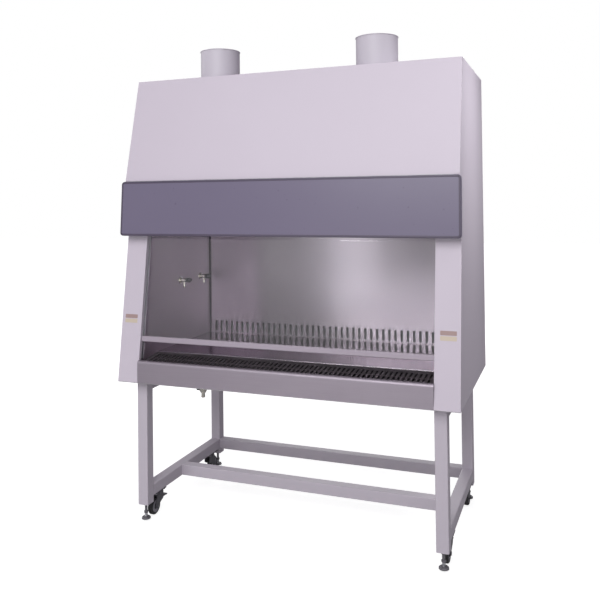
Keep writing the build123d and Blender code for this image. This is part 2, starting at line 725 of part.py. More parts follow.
# ---- air system ----
def plenum_box():
    """Sheet-metal plenum over the chamber: filter ledge, blower inlet, exhaust openings."""
    half, front, rear = PLENUM_HALF_WIDTH, setback(PLENUM_FRONT), setback(BACK_WALL) + 2 * SHEET
    box = block((-half, half), (front, rear), (CHAMBER_TOP, PLENUM_TOP))
    box -= block(
        (-half + SHEET, half - SHEET),
        (front + SHEET, rear - SHEET),
        (CHAMBER_TOP + SHEET, PLENUM_TOP - SHEET),
    )
    box -= block(
        (-half + FILTER_LEDGE, half - FILTER_LEDGE),
        (front + FILTER_LEDGE, rear - FILTER_LEDGE),
        (CHAMBER_TOP - 1, CHAMBER_TOP + 2 * SHEET),
    )
    inlet = Pos(0, rear, BLOWER_HEIGHT) * Rot(90, 0, 0) * Cylinder(IMPELLER_RADIUS * 0.72, 6 * SHEET)
    box -= inlet
    width, depth = EXHAUST_FILTER_SIZE
    for side in (-1, 1):
        x = side * COLLAR_X
        inside_y = (front + SHEET + FILTER_FRAME, front + SHEET + depth - FILTER_FRAME)
        box -= block(
            (x - width / 2 + FILTER_FRAME, x + width / 2 - FILTER_FRAME),
            inside_y,
            (PLENUM_TOP - 2 * SHEET, PLENUM_TOP + 1),
        )
    return box


def frame_ring(x, y, z):
    """Rectangular filter frame."""
    ring = block(x, y, z)
    wall = FILTER_FRAME
    return ring - block((x[0] + wall, x[1] - wall), (y[0] + wall, y[1] - wall), (z[0] - 1, z[1] + 1))


def filter_places():
    """Outer extents of the supply filter and the two exhaust filters."""
    front = setback(PLENUM_FRONT) + SHEET
    rear = setback(BACK_WALL) + SHEET
    half = PLENUM_HALF_WIDTH - SHEET - FIT_GAP
    bottom = CHAMBER_TOP + SHEET
    width, depth = EXHAUST_FILTER_SIZE
    places = [((-half, half), (front + FIT_GAP, rear - FIT_GAP), (bottom, bottom + SUPPLY_FILTER_HEIGHT))]
    for side in (-1, 1):
        x = side * COLLAR_X
        z = (PLENUM_TOP, PLENUM_TOP + EXHAUST_FILTER_HEIGHT)
        places.append(((x - width / 2, x + width / 2), (front, front + depth), z))
    return places


def pleated_pack(x, y, z):
    """Pleated filter medium that fills the inside of a frame."""
    left, right = x[0] + FILTER_FRAME, x[1] - FILTER_FRAME
    count = int((right - left) // PLEAT_PITCH)
    pitch = (right - left) / count
    low, high = z[0] + 10, z[1] - 20
    rise = PLEAT_THICKNESS * 2 * (high - low) / pitch
    front = [(left + i * pitch / 2, high if i % 2 else low) for i in range(2 * count + 1)]
    back = [(px, pz + rise) for px, pz in reversed(front)]
    plane = Plane(origin=(0, y[1] - FILTER_FRAME, 0), x_dir=(1, 0, 0), z_dir=(0, -1, 0))
    sheet = plane * make_face(Polyline(*front, *back, close=True))
    return extrude(sheet, amount=y[1] - y[0] - 2 * FILTER_FRAME)


def exhaust_hood():
    """Right hood that leads from the exhaust filter to the collar, open at its top."""
    width, depth = EXHAUST_FILTER_SIZE
    bottom = PLENUM_TOP + EXHAUST_FILTER_HEIGHT
    front = setback(HOOD_FRONT)
    filter_front = setback(PLENUM_FRONT) + SHEET
    x = (COLLAR_X - width / 2, COLLAR_X + width / 2)
    y = (front, filter_front + depth)
    hood = block(x, y, (bottom, BODY_TOP - SHEET))
    hood -= block(
        (x[0] + SHEET, x[1] - SHEET), (y[0] + SHEET, y[1] - SHEET), (bottom + SHEET, BODY_TOP)
    )
    hood -= block(
        (x[0] + FILTER_FRAME, x[1] - FILTER_FRAME),
        (filter_front + FILTER_FRAME, y[1] - FILTER_FRAME),
        (bottom - 1, bottom + 2 * SHEET),
    )
    return hood


def diffuser_plate():
    """Slotted ceiling plate under the supply filter."""
    half = HALF_CHAMBER - FIT_GAP
    front, rear = setback(PLENUM_FRONT), setback(BACK_WALL) - FIT_GAP
    plate = block((-half, half), (front, rear), (CHAMBER_TOP - SHEET, CHAMBER_TOP))
    cutters = []
    width, length = DIFFUSER_SLOT
    for x in row_places(width, DIFFUSER_PITCH[0], CHAMBER_WIDTH - 2 * LEDGE):
        for row in range(DIFFUSER_ROWS):
            y = (front + rear) / 2 + (row - (DIFFUSER_ROWS - 1) / 2) * DIFFUSER_PITCH[1]
            cutters.append(Pos(x, y, CHAMBER_TOP) * Box(width, length, 4 * SHEET))
    return plate - cutters


def scroll_points(extra):
    """Points of the blower's spiral wall, from the cut-off round to the outlet."""
    points = []
    for step in range(9):
        share = step / 8
        angle = radians(60 - 240 * share)
        radius = SCROLL_START + (SCROLL_END - SCROLL_START) * share + extra
        points.append((radius * cos(angle), radius * sin(angle)))
    return points


def scroll_face(extra, mouth):
    """Closed outline of the scroll, whose outlet points straight up to the mouth."""
    points = scroll_points(extra)
    left, right = points[-1][0], points[0][0] + extra / 2
    outlet = Polyline(points[-1], (left, mouth), (right, mouth), points[0])
    return make_face(Spline(*points) + outlet)


def blower_axis(distance):
    """Plane across the blower's axis, a distance in front of the plenum's back wall."""
    rear = setback(BACK_WALL) + SHEET
    return Plane(origin=(0, rear - distance, BLOWER_HEIGHT), x_dir=(1, 0, 0), z_dir=(0, -1, 0))


def blower_housing():
    """Scroll housing: spiral wall, inlet hole behind, shaft hole in front, outlet on top."""
    mouth = SCROLL_END + SHEET
    shell = extrude(blower_axis(0) * scroll_face(0, mouth), amount=SCROLL_WIDTH)
    hollow = extrude(blower_axis(SHEET) * scroll_face(-SHEET, mouth + 5), amount=SCROLL_WIDTH - 2 * SHEET)
    inlet = extrude(blower_axis(-1) * Circle(IMPELLER_RADIUS * 0.72), amount=SHEET + 2)
    shaft_start = blower_axis(SCROLL_WIDTH - 2 * SHEET)
    shaft_hole = extrude(shaft_start * Circle(MOTOR_RADIUS * 0.4), amount=3 * SHEET)
    return shell - hollow - inlet - shaft_hole


def blower_motor():
    """Motor on the front of the scroll: round can with a bore for the impeller's shaft."""
    can = extrude(blower_axis(SCROLL_WIDTH) * Circle(MOTOR_RADIUS), amount=70)
    can = chamfer(can.edges().filter_by(GeomType.CIRCLE).sort_by(Axis.Y)[0], 6)
    bore = extrude(blower_axis(SCROLL_WIDTH - 1) * Circle(MOTOR_SHAFT_RADIUS + SHAFT_GAP), amount=50)
    return can - bore


def impeller():
    """Forward-curved impeller: back plate, curved blades, inlet ring, hub and shaft."""
    start = (SCROLL_WIDTH - IMPELLER_WIDTH) / 2
    inner, outer = IMPELLER_RADIUS * 0.8, IMPELLER_RADIUS
    ring = Circle(outer) - Circle(inner)
    wheel = extrude(blower_axis(start) * ring, amount=SHEET)
    wheel += extrude(blower_axis(start + IMPELLER_WIDTH - SHEET) * Circle(outer), amount=SHEET)
    blade = Polyline(
        (inner + 1, 0),
        ((inner + outer) / 2, 5),
        (outer - 1, 14),
        (outer - 1, 16),
        ((inner + outer) / 2, 7),
        (inner + 1, 2),
        close=True,
    )
    blades = [Rot(0, 0, i * 360 / BLADES) * make_face(blade) for i in range(BLADES)]
    length = IMPELLER_WIDTH - 2 * SHEET
    wheel += [extrude(blower_axis(start + SHEET) * face, amount=length) for face in blades]
    hub_start = start + IMPELLER_WIDTH - SHEET - 25
    wheel += extrude(blower_axis(hub_start) * Circle(16), amount=25)
    shaft_length = SCROLL_WIDTH + 45 - hub_start
    return wheel + extrude(blower_axis(hub_start) * Circle(MOTOR_SHAFT_RADIUS), amount=shaft_length)


# ---- lamps and electrics ----
LAMP_CENTRE = (setback(PLENUM_FRONT - 32), CHAMBER_TOP + 22)
UV_CENTRE = (setback(BACK_WALL - 20), UV_HEIGHT)


def tube_lamp(radius, half_length, centre):
    """Lamp tube along X with narrower end caps."""
    tube = rod(radius, (-half_length + 8, *centre), (half_length - 8, *centre))
    return tube + rod(radius * 0.8, (-half_length, *centre), (half_length, *centre))


def lamp_tubes():
    """Fluorescent lamp in the ceiling and ultraviolet lamp on the back wall."""
    lamp = tube_lamp(LAMP_RADIUS, LAMP_HALF_LENGTH, LAMP_CENTRE)
    return [lamp, tube_lamp(UV_RADIUS, UV_HALF_LENGTH, UV_CENTRE)]


def lamp_fittings():
    """Reflector tray on the plenum's front, and a holder at each end of both lamps."""
    rear = setback(PLENUM_FRONT)
    low, high = CHAMBER_TOP + SHEET, CHAMBER_TOP + REFLECTOR_HEIGHT
    foot, head = rear - REFLECTOR_DEPTH[0], rear - REFLECTOR_DEPTH[1]
    outer = [(foot, low), (head, high), (rear, high), (rear, low)]
    inner = [
        (rear - SHEET, low),
        (rear - SHEET, high - SHEET),
        (head + SHEET, high - SHEET),
        (foot + SHEET, low),
    ]
    end = LAMP_HALF_LENGTH + LAMP_HOLDER * 1.5
    tray = across(outer + inner, -end, end)
    pieces = [tray]
    y, z = LAMP_CENTRE
    for side in (-1, 1):
        x = sorted((side * LAMP_HALF_LENGTH, side * (LAMP_HALF_LENGTH + LAMP_HOLDER)))
        half = LAMP_RADIUS + 1
        pieces.append(block(x, (y - half, y + half), (z - half, high - SHEET)))
    y, z = UV_CENTRE
    for side in (-1, 1):
        x = sorted((side * UV_HALF_LENGTH, side * (UV_HALF_LENGTH + UV_HOLDER)))
        half = UV_RADIUS + 3
        pieces.append(block(x, (y - half, setback(BACK_WALL)), (z - half, z + half)))
    return pieces


def control_box():
    """Electrical box on the inner face of the front upper panel."""
    slope = (ROOF_SETBACK - HEADER_TOP_SETBACK) / (BODY_TOP - HEADER_TOP)
    stretch = (1 + slope * slope) ** 0.5
    width, height, thick = CONTROL_BOX_SIZE
    inset, lid_thick = CONTROL_LID
    low = HEADER_TOP + CONTROL_BOX_RISE
    high = low + height

    def edge(at, behind):
        return setback(HEADER_TOP_SETBACK + slope * (at - HEADER_TOP) + behind * stretch), at

    def slab(bottom, top, near, far, half):
        corners = [edge(bottom, near), edge(top, near), edge(top, far), edge(bottom, far)]
        return across(corners, -half, half)

    box = slab(low, high, SHEET, thick, width / 2)
    lid = slab(low + inset, high - inset, thick, thick + lid_thick, width / 2 - inset)
    return box + lid


ROCKER_PIVOT = (INLET_X + 18, REAR_FACE - 3, INLET_HEIGHT)


def power_inlet():
    """Inlet module in the rear panel: appliance socket with three blades, and the switch's well."""
    width, height = INLET_SIZE
    flange = block(
        (INLET_X - width / 2, INLET_X + width / 2),
        (REAR_FACE, REAR_FACE + SHEET),
        (INLET_HEIGHT - height / 2, INLET_HEIGHT + height / 2),
    )
    shell = block(
        (INLET_X - width / 2 + 4.5, INLET_X + width / 2 - 4.5),
        (REAR_FACE - 26, REAR_FACE),
        (INLET_HEIGHT - height / 2 + 4.5, INLET_HEIGHT + height / 2 - 4.5),
    )
    socket_x = INLET_X - 12
    socket = Pos(socket_x, REAR_FACE - 9, INLET_HEIGHT) * Box(SOCKET_SIZE[0], 24, SOCKET_SIZE[1])
    blades = [
        Pos(socket_x + dx, REAR_FACE - 15, INLET_HEIGHT + dz) * Box(1.5, 12, 4)
        for dx, dz in ((-7, -2), (0, 2), (7, -2))
    ]
    x, y, z = ROCKER_PIVOT
    well = Pos(x, REAR_FACE - 3, z) * Box(ROCKER_SIZE[0] + 2 * SLIDE_GAP, 14, ROCKER_SIZE[1] + 2 * SLIDE_GAP)
    pin = rod(1.5, (x - ROCKER_SIZE[0] / 2 - 1, y, z), (x + ROCKER_SIZE[0] / 2 + 1, y, z))
    return flange + shell - socket - well + blades + pin


def mains_rocker():
    """Rocker switch at rest with its upper half pressed in."""
    width, height = ROCKER_SIZE
    half = height / 2 - 0.9
    points = [(4.5, half), (3, 0), (4.5, -half), (-3, -half), (-3, half)]
    body = make_face(Polyline(*points, close=True))
    solid = extrude(Plane.YZ.offset(-width / 2) * body, amount=width)
    solid -= rod(1.5 + SHAFT_GAP, (-width, 0, 0), (width, 0, 0))
    return Pos(*ROCKER_PIVOT) * Rot(8, 0, 0) * solid


# ---- valves ----
def hose_barb(radius, length):
    """Ribbed hose tail along +Z."""
    tail = Cylinder(radius, length, align=(Align.CENTER, Align.CENTER, Align.MIN))
    ridge = Cone(radius + 1.2, radius, 4, align=(Align.CENTER, Align.CENTER, Align.MIN))
    return tail + [Pos(0, 0, length - 5) * ridge]


def service_cock(rear):
    """Service cock on the left chamber wall: flange, barrel, stem and hose tail."""
    y, z, x = setback(rear), COCK_HEIGHT, -HALF_CHAMBER
    cock = Part()
    for radius, length in (COCK_FLANGE, COCK_BARREL, COCK_STEM):
        cock += rod(radius, (x, y, z), (x + length, y, z))
    tail = Pos(0, 0, COCK_BARREL[0] - 2) * hose_barb(COCK_BARB_RADIUS, COCK_TAIL_LENGTH)
    return cock + Pos(x + COCK_TAIL_REACH, y, z) * Rot(180, 0, 0) * tail


def cock_handle(rear):
    """Turning handle of a service cock: hub over the stem with a rounded wing."""
    y, z, x = setback(rear), COCK_HEIGHT, -HALF_CHAMBER + COCK_BARREL[1] + SLIDE_GAP
    hub_radius, hub_length = COCK_HUB
    hub = rod(hub_radius, (x, y, z), (x + hub_length, y, z))
    start = Plane(origin=(x + hub_length / 4, y, z), x_dir=(0, 1, 0), z_dir=(1, 0, 0))
    wing = extrude(start * SlotOverall(*COCK_WING), amount=hub_length / 2)
    depth = COCK_STEM[1] - COCK_BARREL[1]
    bore = rod(COCK_STEM[0] + SHAFT_GAP, (x - 1, y, z), (x + depth, y, z))
    return hub + wing - bore


def drain_valve():
    """Ball valve under the basin: collar, body, side stem and hose tail."""
    y = setback(DRAIN_SETBACK)
    valve = rod(20, (DRAIN_X, y, STAND_TOP), (DRAIN_X, y, STAND_TOP - 6))
    valve += rod(13, (DRAIN_X, y, STAND_TOP), (DRAIN_X, y, STAND_TOP - 50))
    valve += Pos(DRAIN_X, y, STAND_TOP - 34) * Sphere(18)
    valve += rod(DRAIN_STEM_RADIUS, (DRAIN_X, y, STAND_TOP - 34), (DRAIN_X - 27, y, STAND_TOP - 34))
    valve += Pos(DRAIN_X, y, STAND_TOP - 50) * Rot(180, 0, 0) * hose_barb(DRAIN_BARB_RADIUS, 22)
    return valve - rod(5, (DRAIN_X, y, STAND_TOP + 1), (DRAIN_X, y, STAND_TOP - 80))


def drain_lever():
    """Lever of the drain valve, closed: it points backwards."""
    y, z = setback(DRAIN_SETBACK), STAND_TOP - 34
    x = DRAIN_X - 19
    hub = rod(9, (x, y, z), (x - 10, y, z))
    plane = Plane(origin=(x - 3, y + DRAIN_LEVER / 2 - 7, z), x_dir=(0, 1, 0), z_dir=(-1, 0, 0))
    blade = extrude(plane * SlotOverall(DRAIN_LEVER + 14, 14), amount=4)
    return hub + blade - rod(DRAIN_STEM_RADIUS + SHAFT_GAP, (x + 1, y, z), (x - 20, y, z))


# ---- stand ----
LEG_X = LEG_OUTER_X - TUBE / 2
LEG_SETBACKS = {"front": FRONT_LEG + TUBE / 2, "rear": REAR_LEG_BACK - TUBE / 2}
KINGPIN_SETBACKS = {
    "front": FRONT_LEG + TUBE + CASTER_FROM_LEG,
    "rear": REAR_LEG_BACK - TUBE - CASTER_FROM_LEG,
}
CORNERS = [(side, end) for side in ("left", "right") for end in ("front", "rear")]
SIDE_SIGN = {"left": -1, "right": 1}


def square_tube(start, direction, length):
    """Square tube with rounded corners, from a centre point along a direction."""
    plane = Plane(origin=start, x_dir=(direction[1], direction[2], direction[0]), z_dir=direction)
    inside = TUBE - 2 * TUBE_WALL
    section = RectangleRounded(TUBE, TUBE, TUBE_CORNER)
    section -= RectangleRounded(inside, inside, TUBE_CORNER - TUBE_WALL)
    return extrude(plane * section, amount=length)


def stand_leg(side, end):
    """Leg with a threaded plug in its foot and a closed top."""
    x, y = SIDE_SIGN[side] * LEG_X, setback(LEG_SETBACKS[end])
    leg = square_tube((x, y, LEG_BOTTOM), (0, 0, 1), STAND_TOP - LEG_BOTTOM)
    inside = TUBE - TUBE_WALL
    plug = Pos(x, y, LEG_BOTTOM + LEG_PLUG / 2) * Box(inside, inside, LEG_PLUG)
    cap = Pos(x, y, STAND_TOP - 2) * Box(inside, inside, 4)
    bore = rod(FOOT_STUD_RADIUS + SHAFT_GAP, (x, y, LEG_BOTTOM - 1), (x, y, LEG_BOTTOM + LEG_PLUG + 1))
    return leg + plug + cap - bore


def stand_rails():
    """Low and high side rails, the rear rail and the mid rail."""
    rails = []
    start = setback(FRONT_LEG + TUBE)
    length = REAR_LEG_BACK - FRONT_LEG - 2 * TUBE
    low, high = LOW_RAIL_BOTTOM + TUBE / 2, STAND_TOP - TUBE / 2
    for side in (-1, 1):
        for z in (low, high):
            rails.append(square_tube((side * LEG_X, start, z), (0, 1, 0), length))
    half = LEG_OUTER_X - TUBE
    for y in (setback(LEG_SETBACKS["rear"]), setback(MID_RAIL_FRONT + TUBE / 2)):
        rails.append(square_tube((-half, y, low), (1, 0, 0), 2 * half))
    return rails


def levelling_foot(side, end):
    """Levelling foot: round pad, threaded stud and hexagonal lock nut."""
    x, y = SIDE_SIGN[side] * LEG_X, setback(LEG_SETBACKS[end])
    pad = extrude(Circle(FOOT_PAD_RADIUS), amount=FOOT_PAD_HEIGHT)
    pad = chamfer(pad.edges().group_by(Axis.Z)[-1], 3)
    top = LEG_BOTTOM + LEG_PLUG + 15 - FOOT_LIFT
    stud = extrude(Circle(FOOT_STUD_RADIUS), amount=top)
    nut = Pos(0, 0, FOOT_PAD_HEIGHT + 18) * extrude(RegularPolygon(10, 6), amount=8)
    return Pos(x, y, FOOT_LIFT) * (pad + stud + nut)


# ---- casters ----
def kingpin(side, end):
    """Place of a caster's kingpin axis on the floor; each caster trails towards its leg."""
    turn = 0 if end == "front" else 180
    return Pos(SIDE_SIGN[side] * LEG_X, setback(KINGPIN_SETBACKS[end]), 0) * Rot(0, 0, turn)


CROWN_TOP = LOW_RAIL_BOTTOM - CASTER_PLATE[2] - 5
CROWN_BOTTOM = 2 * WHEEL_RADIUS + 6
FORK_INSIDE = WHEEL_WIDTH / 2 + 1
PEDAL_PIVOT = (24, 64)


def caster_plate(side, end):
    """Top plate, race and kingpin of a caster."""
    width, length, thick = CASTER_PLATE
    plate = Pos(0, 0, LOW_RAIL_BOTTOM - thick / 2) * Box(width, length, thick)
    race = rod(20, (0, 0, CROWN_TOP + SLIDE_GAP), (0, 0, LOW_RAIL_BOTTOM - thick))
    pin = rod(KINGPIN_RADIUS, (0, 0, CROWN_BOTTOM - 3), (0, 0, LOW_RAIL_BOTTOM - thick))
    head = rod(KINGPIN_RADIUS + 3, (0, 0, CROWN_BOTTOM - 4), (0, 0, CROWN_BOTTOM - SLIDE_GAP))
    return kingpin(side, end) * (plate + race + pin + head)


def caster_fork(side, end):
    """Swivel fork of a caster with its wheel axle and, in front, the pedal's pin."""
    crown = rod(19, (0, 0, CROWN_BOTTOM), (0, 0, CROWN_TOP))
    cheek = make_face(
        Polyline(
            (PEDAL_PIVOT[0] + 6, CROWN_TOP - 3),
            (-18, CROWN_TOP - 3),
            (-CASTER_TRAIL - 10, WHEEL_RADIUS),
            (-CASTER_TRAIL + 10, WHEEL_RADIUS - 2),
            (PEDAL_PIVOT[0] + 6, PEDAL_PIVOT[1] - 7),
            close=True,
        )
    )
    cheek += Pos(-CASTER_TRAIL, WHEEL_RADIUS) * Circle(10.5)
    fork = crown
    for sign in (-1, 1):
        start = sign * FORK_INSIDE if sign > 0 else -FORK_INSIDE - FORK_SHEET
        fork += extrude(Plane.YZ.offset(start) * cheek, amount=FORK_SHEET)
    bridge = block(
        (-FORK_INSIDE - 1, FORK_INSIDE + 1), (-19, 19), (CROWN_BOTTOM, CROWN_BOTTOM + FORK_SHEET)
    )
    outer = FORK_INSIDE + FORK_SHEET
    axle_y, axle_z = -CASTER_TRAIL, WHEEL_RADIUS
    fork += bridge + rod(WHEEL_AXLE_RADIUS, (-outer, axle_y, axle_z), (outer, axle_y, axle_z))
    for sign in (-1, 1):
        fork += rod(8, (sign * outer, axle_y, axle_z), (sign * (outer + 3), axle_y, axle_z))
    fork -= rod(KINGPIN_RADIUS + SHAFT_GAP, (0, 0, CROWN_BOTTOM - 1), (0, 0, CROWN_TOP + 1))
    if end == "front":
        fork += rod(2.5, (-outer, *PEDAL_PIVOT), (outer, *PEDAL_PIVOT))
    return kingpin(side, end) * fork


def caster_wheel(side, end):
    """Caster wheel: rounded tread, recessed web and hub."""
    half, radius = WHEEL_WIDTH / 2, WHEEL_RADIUS
    rim, hub, web = radius - 9, 13, 4
    section = make_face(
        Polyline(
            (-half, WHEEL_AXLE_RADIUS + SHAFT_GAP),
            (half, WHEEL_AXLE_RADIUS + SHAFT_GAP),
            (half, hub),
            (web, hub + 1),
            (web, rim - 1),
            (half, rim),
            (half, radius - 5),
            (half - 5, radius),
            (5 - half, radius),
            (-half, radius - 5),
            (-half, rim),
            (-web, rim - 1),
            (-web, hub + 1),
            (-half, hub),
            close=True,
        )
    )
    wheel = revolve(section, axis=Axis.X)
    return kingpin(side, end) * Pos(0, -CASTER_TRAIL, WHEEL_RADIUS) * wheel


def brake_pedal(side):
    """Foot pedal of a front caster: hub on its pin and a dished tongue."""
    y, z = PEDAL_PIVOT
    half = FORK_INSIDE - 0.5
    hub = rod(6, (-half, y, z), (half, y, z))
    tongue = make_face(
        Polyline(
            (y, z + 5),
            (y + 20, z - 2),
            (PEDAL_REACH, z - 5),
            (PEDAL_REACH, z - 9),
            (y, z - 5),
            close=True,
        )
    )
    pedal = hub + extrude(Plane.YZ.offset(-half) * tongue, amount=2 * half)
    corners = pedal.edges().filter_by(Axis.Z).sort_by(Axis.Y)[-2:]
    pedal = fillet(corners, 5) - rod(2.5 + SHAFT_GAP, (-half - 1, y, z), (half + 1, y, z))
    return kingpin(side, "front") * pedal


# ---- writing the nodes ----
def pair(shape):
    """A right-hand piece and its mirror image."""
    return [shape, mirrored(shape)]


os.makedirs("parts", exist_ok=True)
right_side = side_panel()
save("side_panel_right", right_side)
save("side_panel_left", mirrored(right_side))
save("rear_panel", rear_panel())
save("rear_panel_screws", *rear_screws())
save("roof_panel", roof_panel())
save("front_upper_panel", front_upper_panel())
save("exhaust_collars", *pair(exhaust_collar()))
save("exhaust_hoods", *pair(exhaust_hood()))
save("header_frame", header_frame())
save("header_cover", header_cover())
save("columns", *pair(columns()))
save("front_sill", front_sill())
save("base_pan", *base_pan())
save("chamber_side_walls", *pair(chamber_side()))
save("chamber_back_wall", chamber_back())
save("front_grille", front_grille())
save("work_tray", work_tray())
save("diffuser_plate", diffuser_plate())
save("plenum_box", plenum_box())
save("filter_frames", *[frame_ring(*place) for place in filter_places()])
save("filter_media", *[pleated_pack(*place) for place in filter_places()])
save("blower_housing", blower_housing())
save("blower_motor", blower_motor())
save("impeller", impeller())
save("lamp_tubes", *lamp_tubes())
save("lamp_fittings", *lamp_fittings())
save("control_box", control_box())
save("power_inlet", power_inlet())
save("mains_rocker", mains_rocker())
save("sash_glass", sash_glass())
save("sash_rails", *sash_rails())
save("sash_guides", *pair(sash_guide()))
save("sash_cables", *pair(sash_cable()))
save("balance_frames", *pair(balance_frame()))
for side, make in (("right", lambda shape: shape), ("left", mirrored)):
    save(f"counterweight_{side}", make(counterweight()))
    save(f"pulley_{side}", make(pulley()))
save("service_cocks", *[service_cock(rear) for rear in COCK_SETBACKS])
save("cock_handle_front", cock_handle(COCK_SETBACKS[0]))
save("cock_handle_rear", cock_handle(COCK_SETBACKS[1]))
save("drain_valve", drain_valve())
save("drain_lever", drain_lever())
save("stand_legs", *[stand_leg(*corner) for corner in CORNERS])
save("stand_rails", *stand_rails())
save("caster_plates", *[caster_plate(*corner) for corner in CORNERS])
for side, end in CORNERS:
    save(f"levelling_foot_{end}_{side}", levelling_foot(side, end))
    save(f"caster_fork_{end}_{side}", caster_fork(side, end))
    save(f"caster_wheel_{end}_{side}", caster_wheel(side, end))
for side in SIDE_SIGN:
    save(f"brake_pedal_{side}", brake_pedal(side))
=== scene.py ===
from math import cos, radians, sin

import bmesh
import bpy
from mathutils import Matrix, Vector


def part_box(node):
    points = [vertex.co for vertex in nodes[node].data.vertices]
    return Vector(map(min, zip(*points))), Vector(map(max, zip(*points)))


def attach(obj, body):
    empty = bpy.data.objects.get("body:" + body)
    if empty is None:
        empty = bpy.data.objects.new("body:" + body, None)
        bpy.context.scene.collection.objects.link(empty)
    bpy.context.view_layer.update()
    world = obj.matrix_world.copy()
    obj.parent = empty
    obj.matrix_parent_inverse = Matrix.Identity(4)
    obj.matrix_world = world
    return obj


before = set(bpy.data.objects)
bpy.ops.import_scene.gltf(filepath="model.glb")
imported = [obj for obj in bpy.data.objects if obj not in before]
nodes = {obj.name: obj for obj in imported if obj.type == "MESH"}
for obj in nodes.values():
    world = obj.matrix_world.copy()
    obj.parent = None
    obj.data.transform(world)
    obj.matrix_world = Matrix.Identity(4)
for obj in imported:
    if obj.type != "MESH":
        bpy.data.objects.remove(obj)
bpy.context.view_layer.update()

# ---- Camera ----
# A plain standing viewpoint in front of the cabinet's right half, turned towards its middle.
# The horizon sits above the middle of the frame, so the lens is shifted down to hold the stand.
EYE = (1.1536, -3.1152, 1.4286)
TURN_LEFT = 20.793
LOOK_UP = 0.908
ROLL = -0.664
SENSOR_WIDTH = 36
FOCAL_LENGTH = 43.205
LENS_SHIFT = -0.18608
camera_data = bpy.data.cameras.new("camera")
camera_data.sensor_width = SENSOR_WIDTH
camera_data.lens = FOCAL_LENGTH
camera_data.shift_y = LENS_SHIFT
camera = bpy.data.objects.new("camera", camera_data)
bpy.context.scene.collection.objects.link(camera)
camera.matrix_world = (
    Matrix.Translation(EYE)
    @ Matrix.Rotation(radians(TURN_LEFT), 4, "Z")
    @ Matrix.Rotation(radians(90 + LOOK_UP), 4, "X")
    @ Matrix.Rotation(radians(ROLL), 4, "Z")
)
bpy.context.scene.camera = camera

# ---- Studio ----
# A pale floor and a white surround with seven soft lamps: a large one high in front, a weak one
# overhead, a small one by the top of the right-hand side, one behind and one to the left, and
# two low ones in front that draw the bright streaks on the chamber's steel.
# The floor and the surround turn white only for the eye, so the lamps stay at a plain level.
FLOOR_SIZE = 40
FLOOR_GREY = 0.50
FLOOR_ROUGHNESS = 0.9
FLOOR_GLOW = 0.80
FADE_START = 1.2
FADE_END = 4.0
FILL_COLOR = (0.97, 0.95, 1.0, 1)
FILL_STRENGTH = 0.30
LAMPS = (  # name, place, target, width and height, spread in degrees, power in watts
    ("key_lamp", (0.1, -4.6, 3.7), (0, 0, 1.2), (3.0, 3.0), 180, 158),
    ("top_lamp", (-0.4, -1.2, 5.2), (0, 0, 1.5), (3.0, 3.0), 180, 7),
    ("side_lamp", (1.65, -0.1, 2.6), (0.75, 0, 1.6), (0.5, 0.5), 62, 2.6),
    ("strip_lamp", (-1.30, -4.6, 0.48), (0.05, 0.28, 0.9), (0.5, 0.9), 180, 12),
    ("fill_strip_lamp", (2.3, -4.6, 0.48), (0, 0.28, 0.9), (1.8, 0.9), 180, 14),
    ("rear_lamp", (-1.2, 5.2, 1.5), (0, 0, 1.3), (2.6, 2.2), 180, 65),
    ("left_lamp", (-4.4, 0.4, 1.6), (0, 0, 1.3), (2.2, 2.2), 180, 45),
)


def calculate(tree, operation, *values):
    """The result of a maths node on the given sockets."""
    node = tree.nodes.new("ShaderNodeMath")
    node.operation = operation
    for value, socket in zip(values, node.inputs):
        tree.links.new(value, socket)
    return node.outputs[0]


def either_ray(tree, first, second):
    """1 for a ray of either kind, 0 for any other."""
    rays = tree.nodes.new("ShaderNodeLightPath").outputs
    return calculate(tree, "MAXIMUM", rays[first], rays[second])


def mix_shaders(tree, factor, first, second):
    """The first shader where the factor is 0, the second where it is 1."""
    mix = tree.nodes.new("ShaderNodeMixShader")
    tree.links.new(factor, mix.inputs["Fac"])
    tree.links.new(first, mix.inputs[1])
    tree.links.new(second, mix.inputs[2])
    return mix.outputs[0]


scene = bpy.context.scene
scene.view_settings.view_transform = "Standard"

world = bpy.data.worlds.new("studio")
scene.world = world
world.use_nodes = True
tree = world.node_tree
fill = tree.nodes["Background"]
fill.inputs["Color"].default_value = FILL_COLOR
fill.inputs["Strength"].default_value = FILL_STRENGTH
white = tree.nodes.new("ShaderNodeBackground")
white.inputs["Color"].default_value = (1, 1, 1, 1)
seen = either_ray(tree, "Is Camera Ray", "Is Transmission Ray")
surround = mix_shaders(tree, seen, fill.outputs[0], white.outputs[0])
tree.links.new(surround, tree.nodes["World Output"].inputs["Surface"])

bpy.ops.object.select_all(action="DESELECT")
bpy.ops.mesh.primitive_plane_add(size=FLOOR_SIZE, location=(0, 0, 0))
floor = bpy.context.object
floor.name = "floor"
floor_paint = bpy.data.materials.new("floor")
floor_paint.use_nodes = True
tree = floor_paint.node_tree
surface = tree.nodes["Principled BSDF"]
surface.inputs["Base Color"].default_value = (FLOOR_GREY, FLOOR_GREY, FLOOR_GREY, 1)
surface.inputs["Roughness"].default_value = FLOOR_ROUGHNESS
surface.inputs["Specular IOR Level"].default_value = 0.0
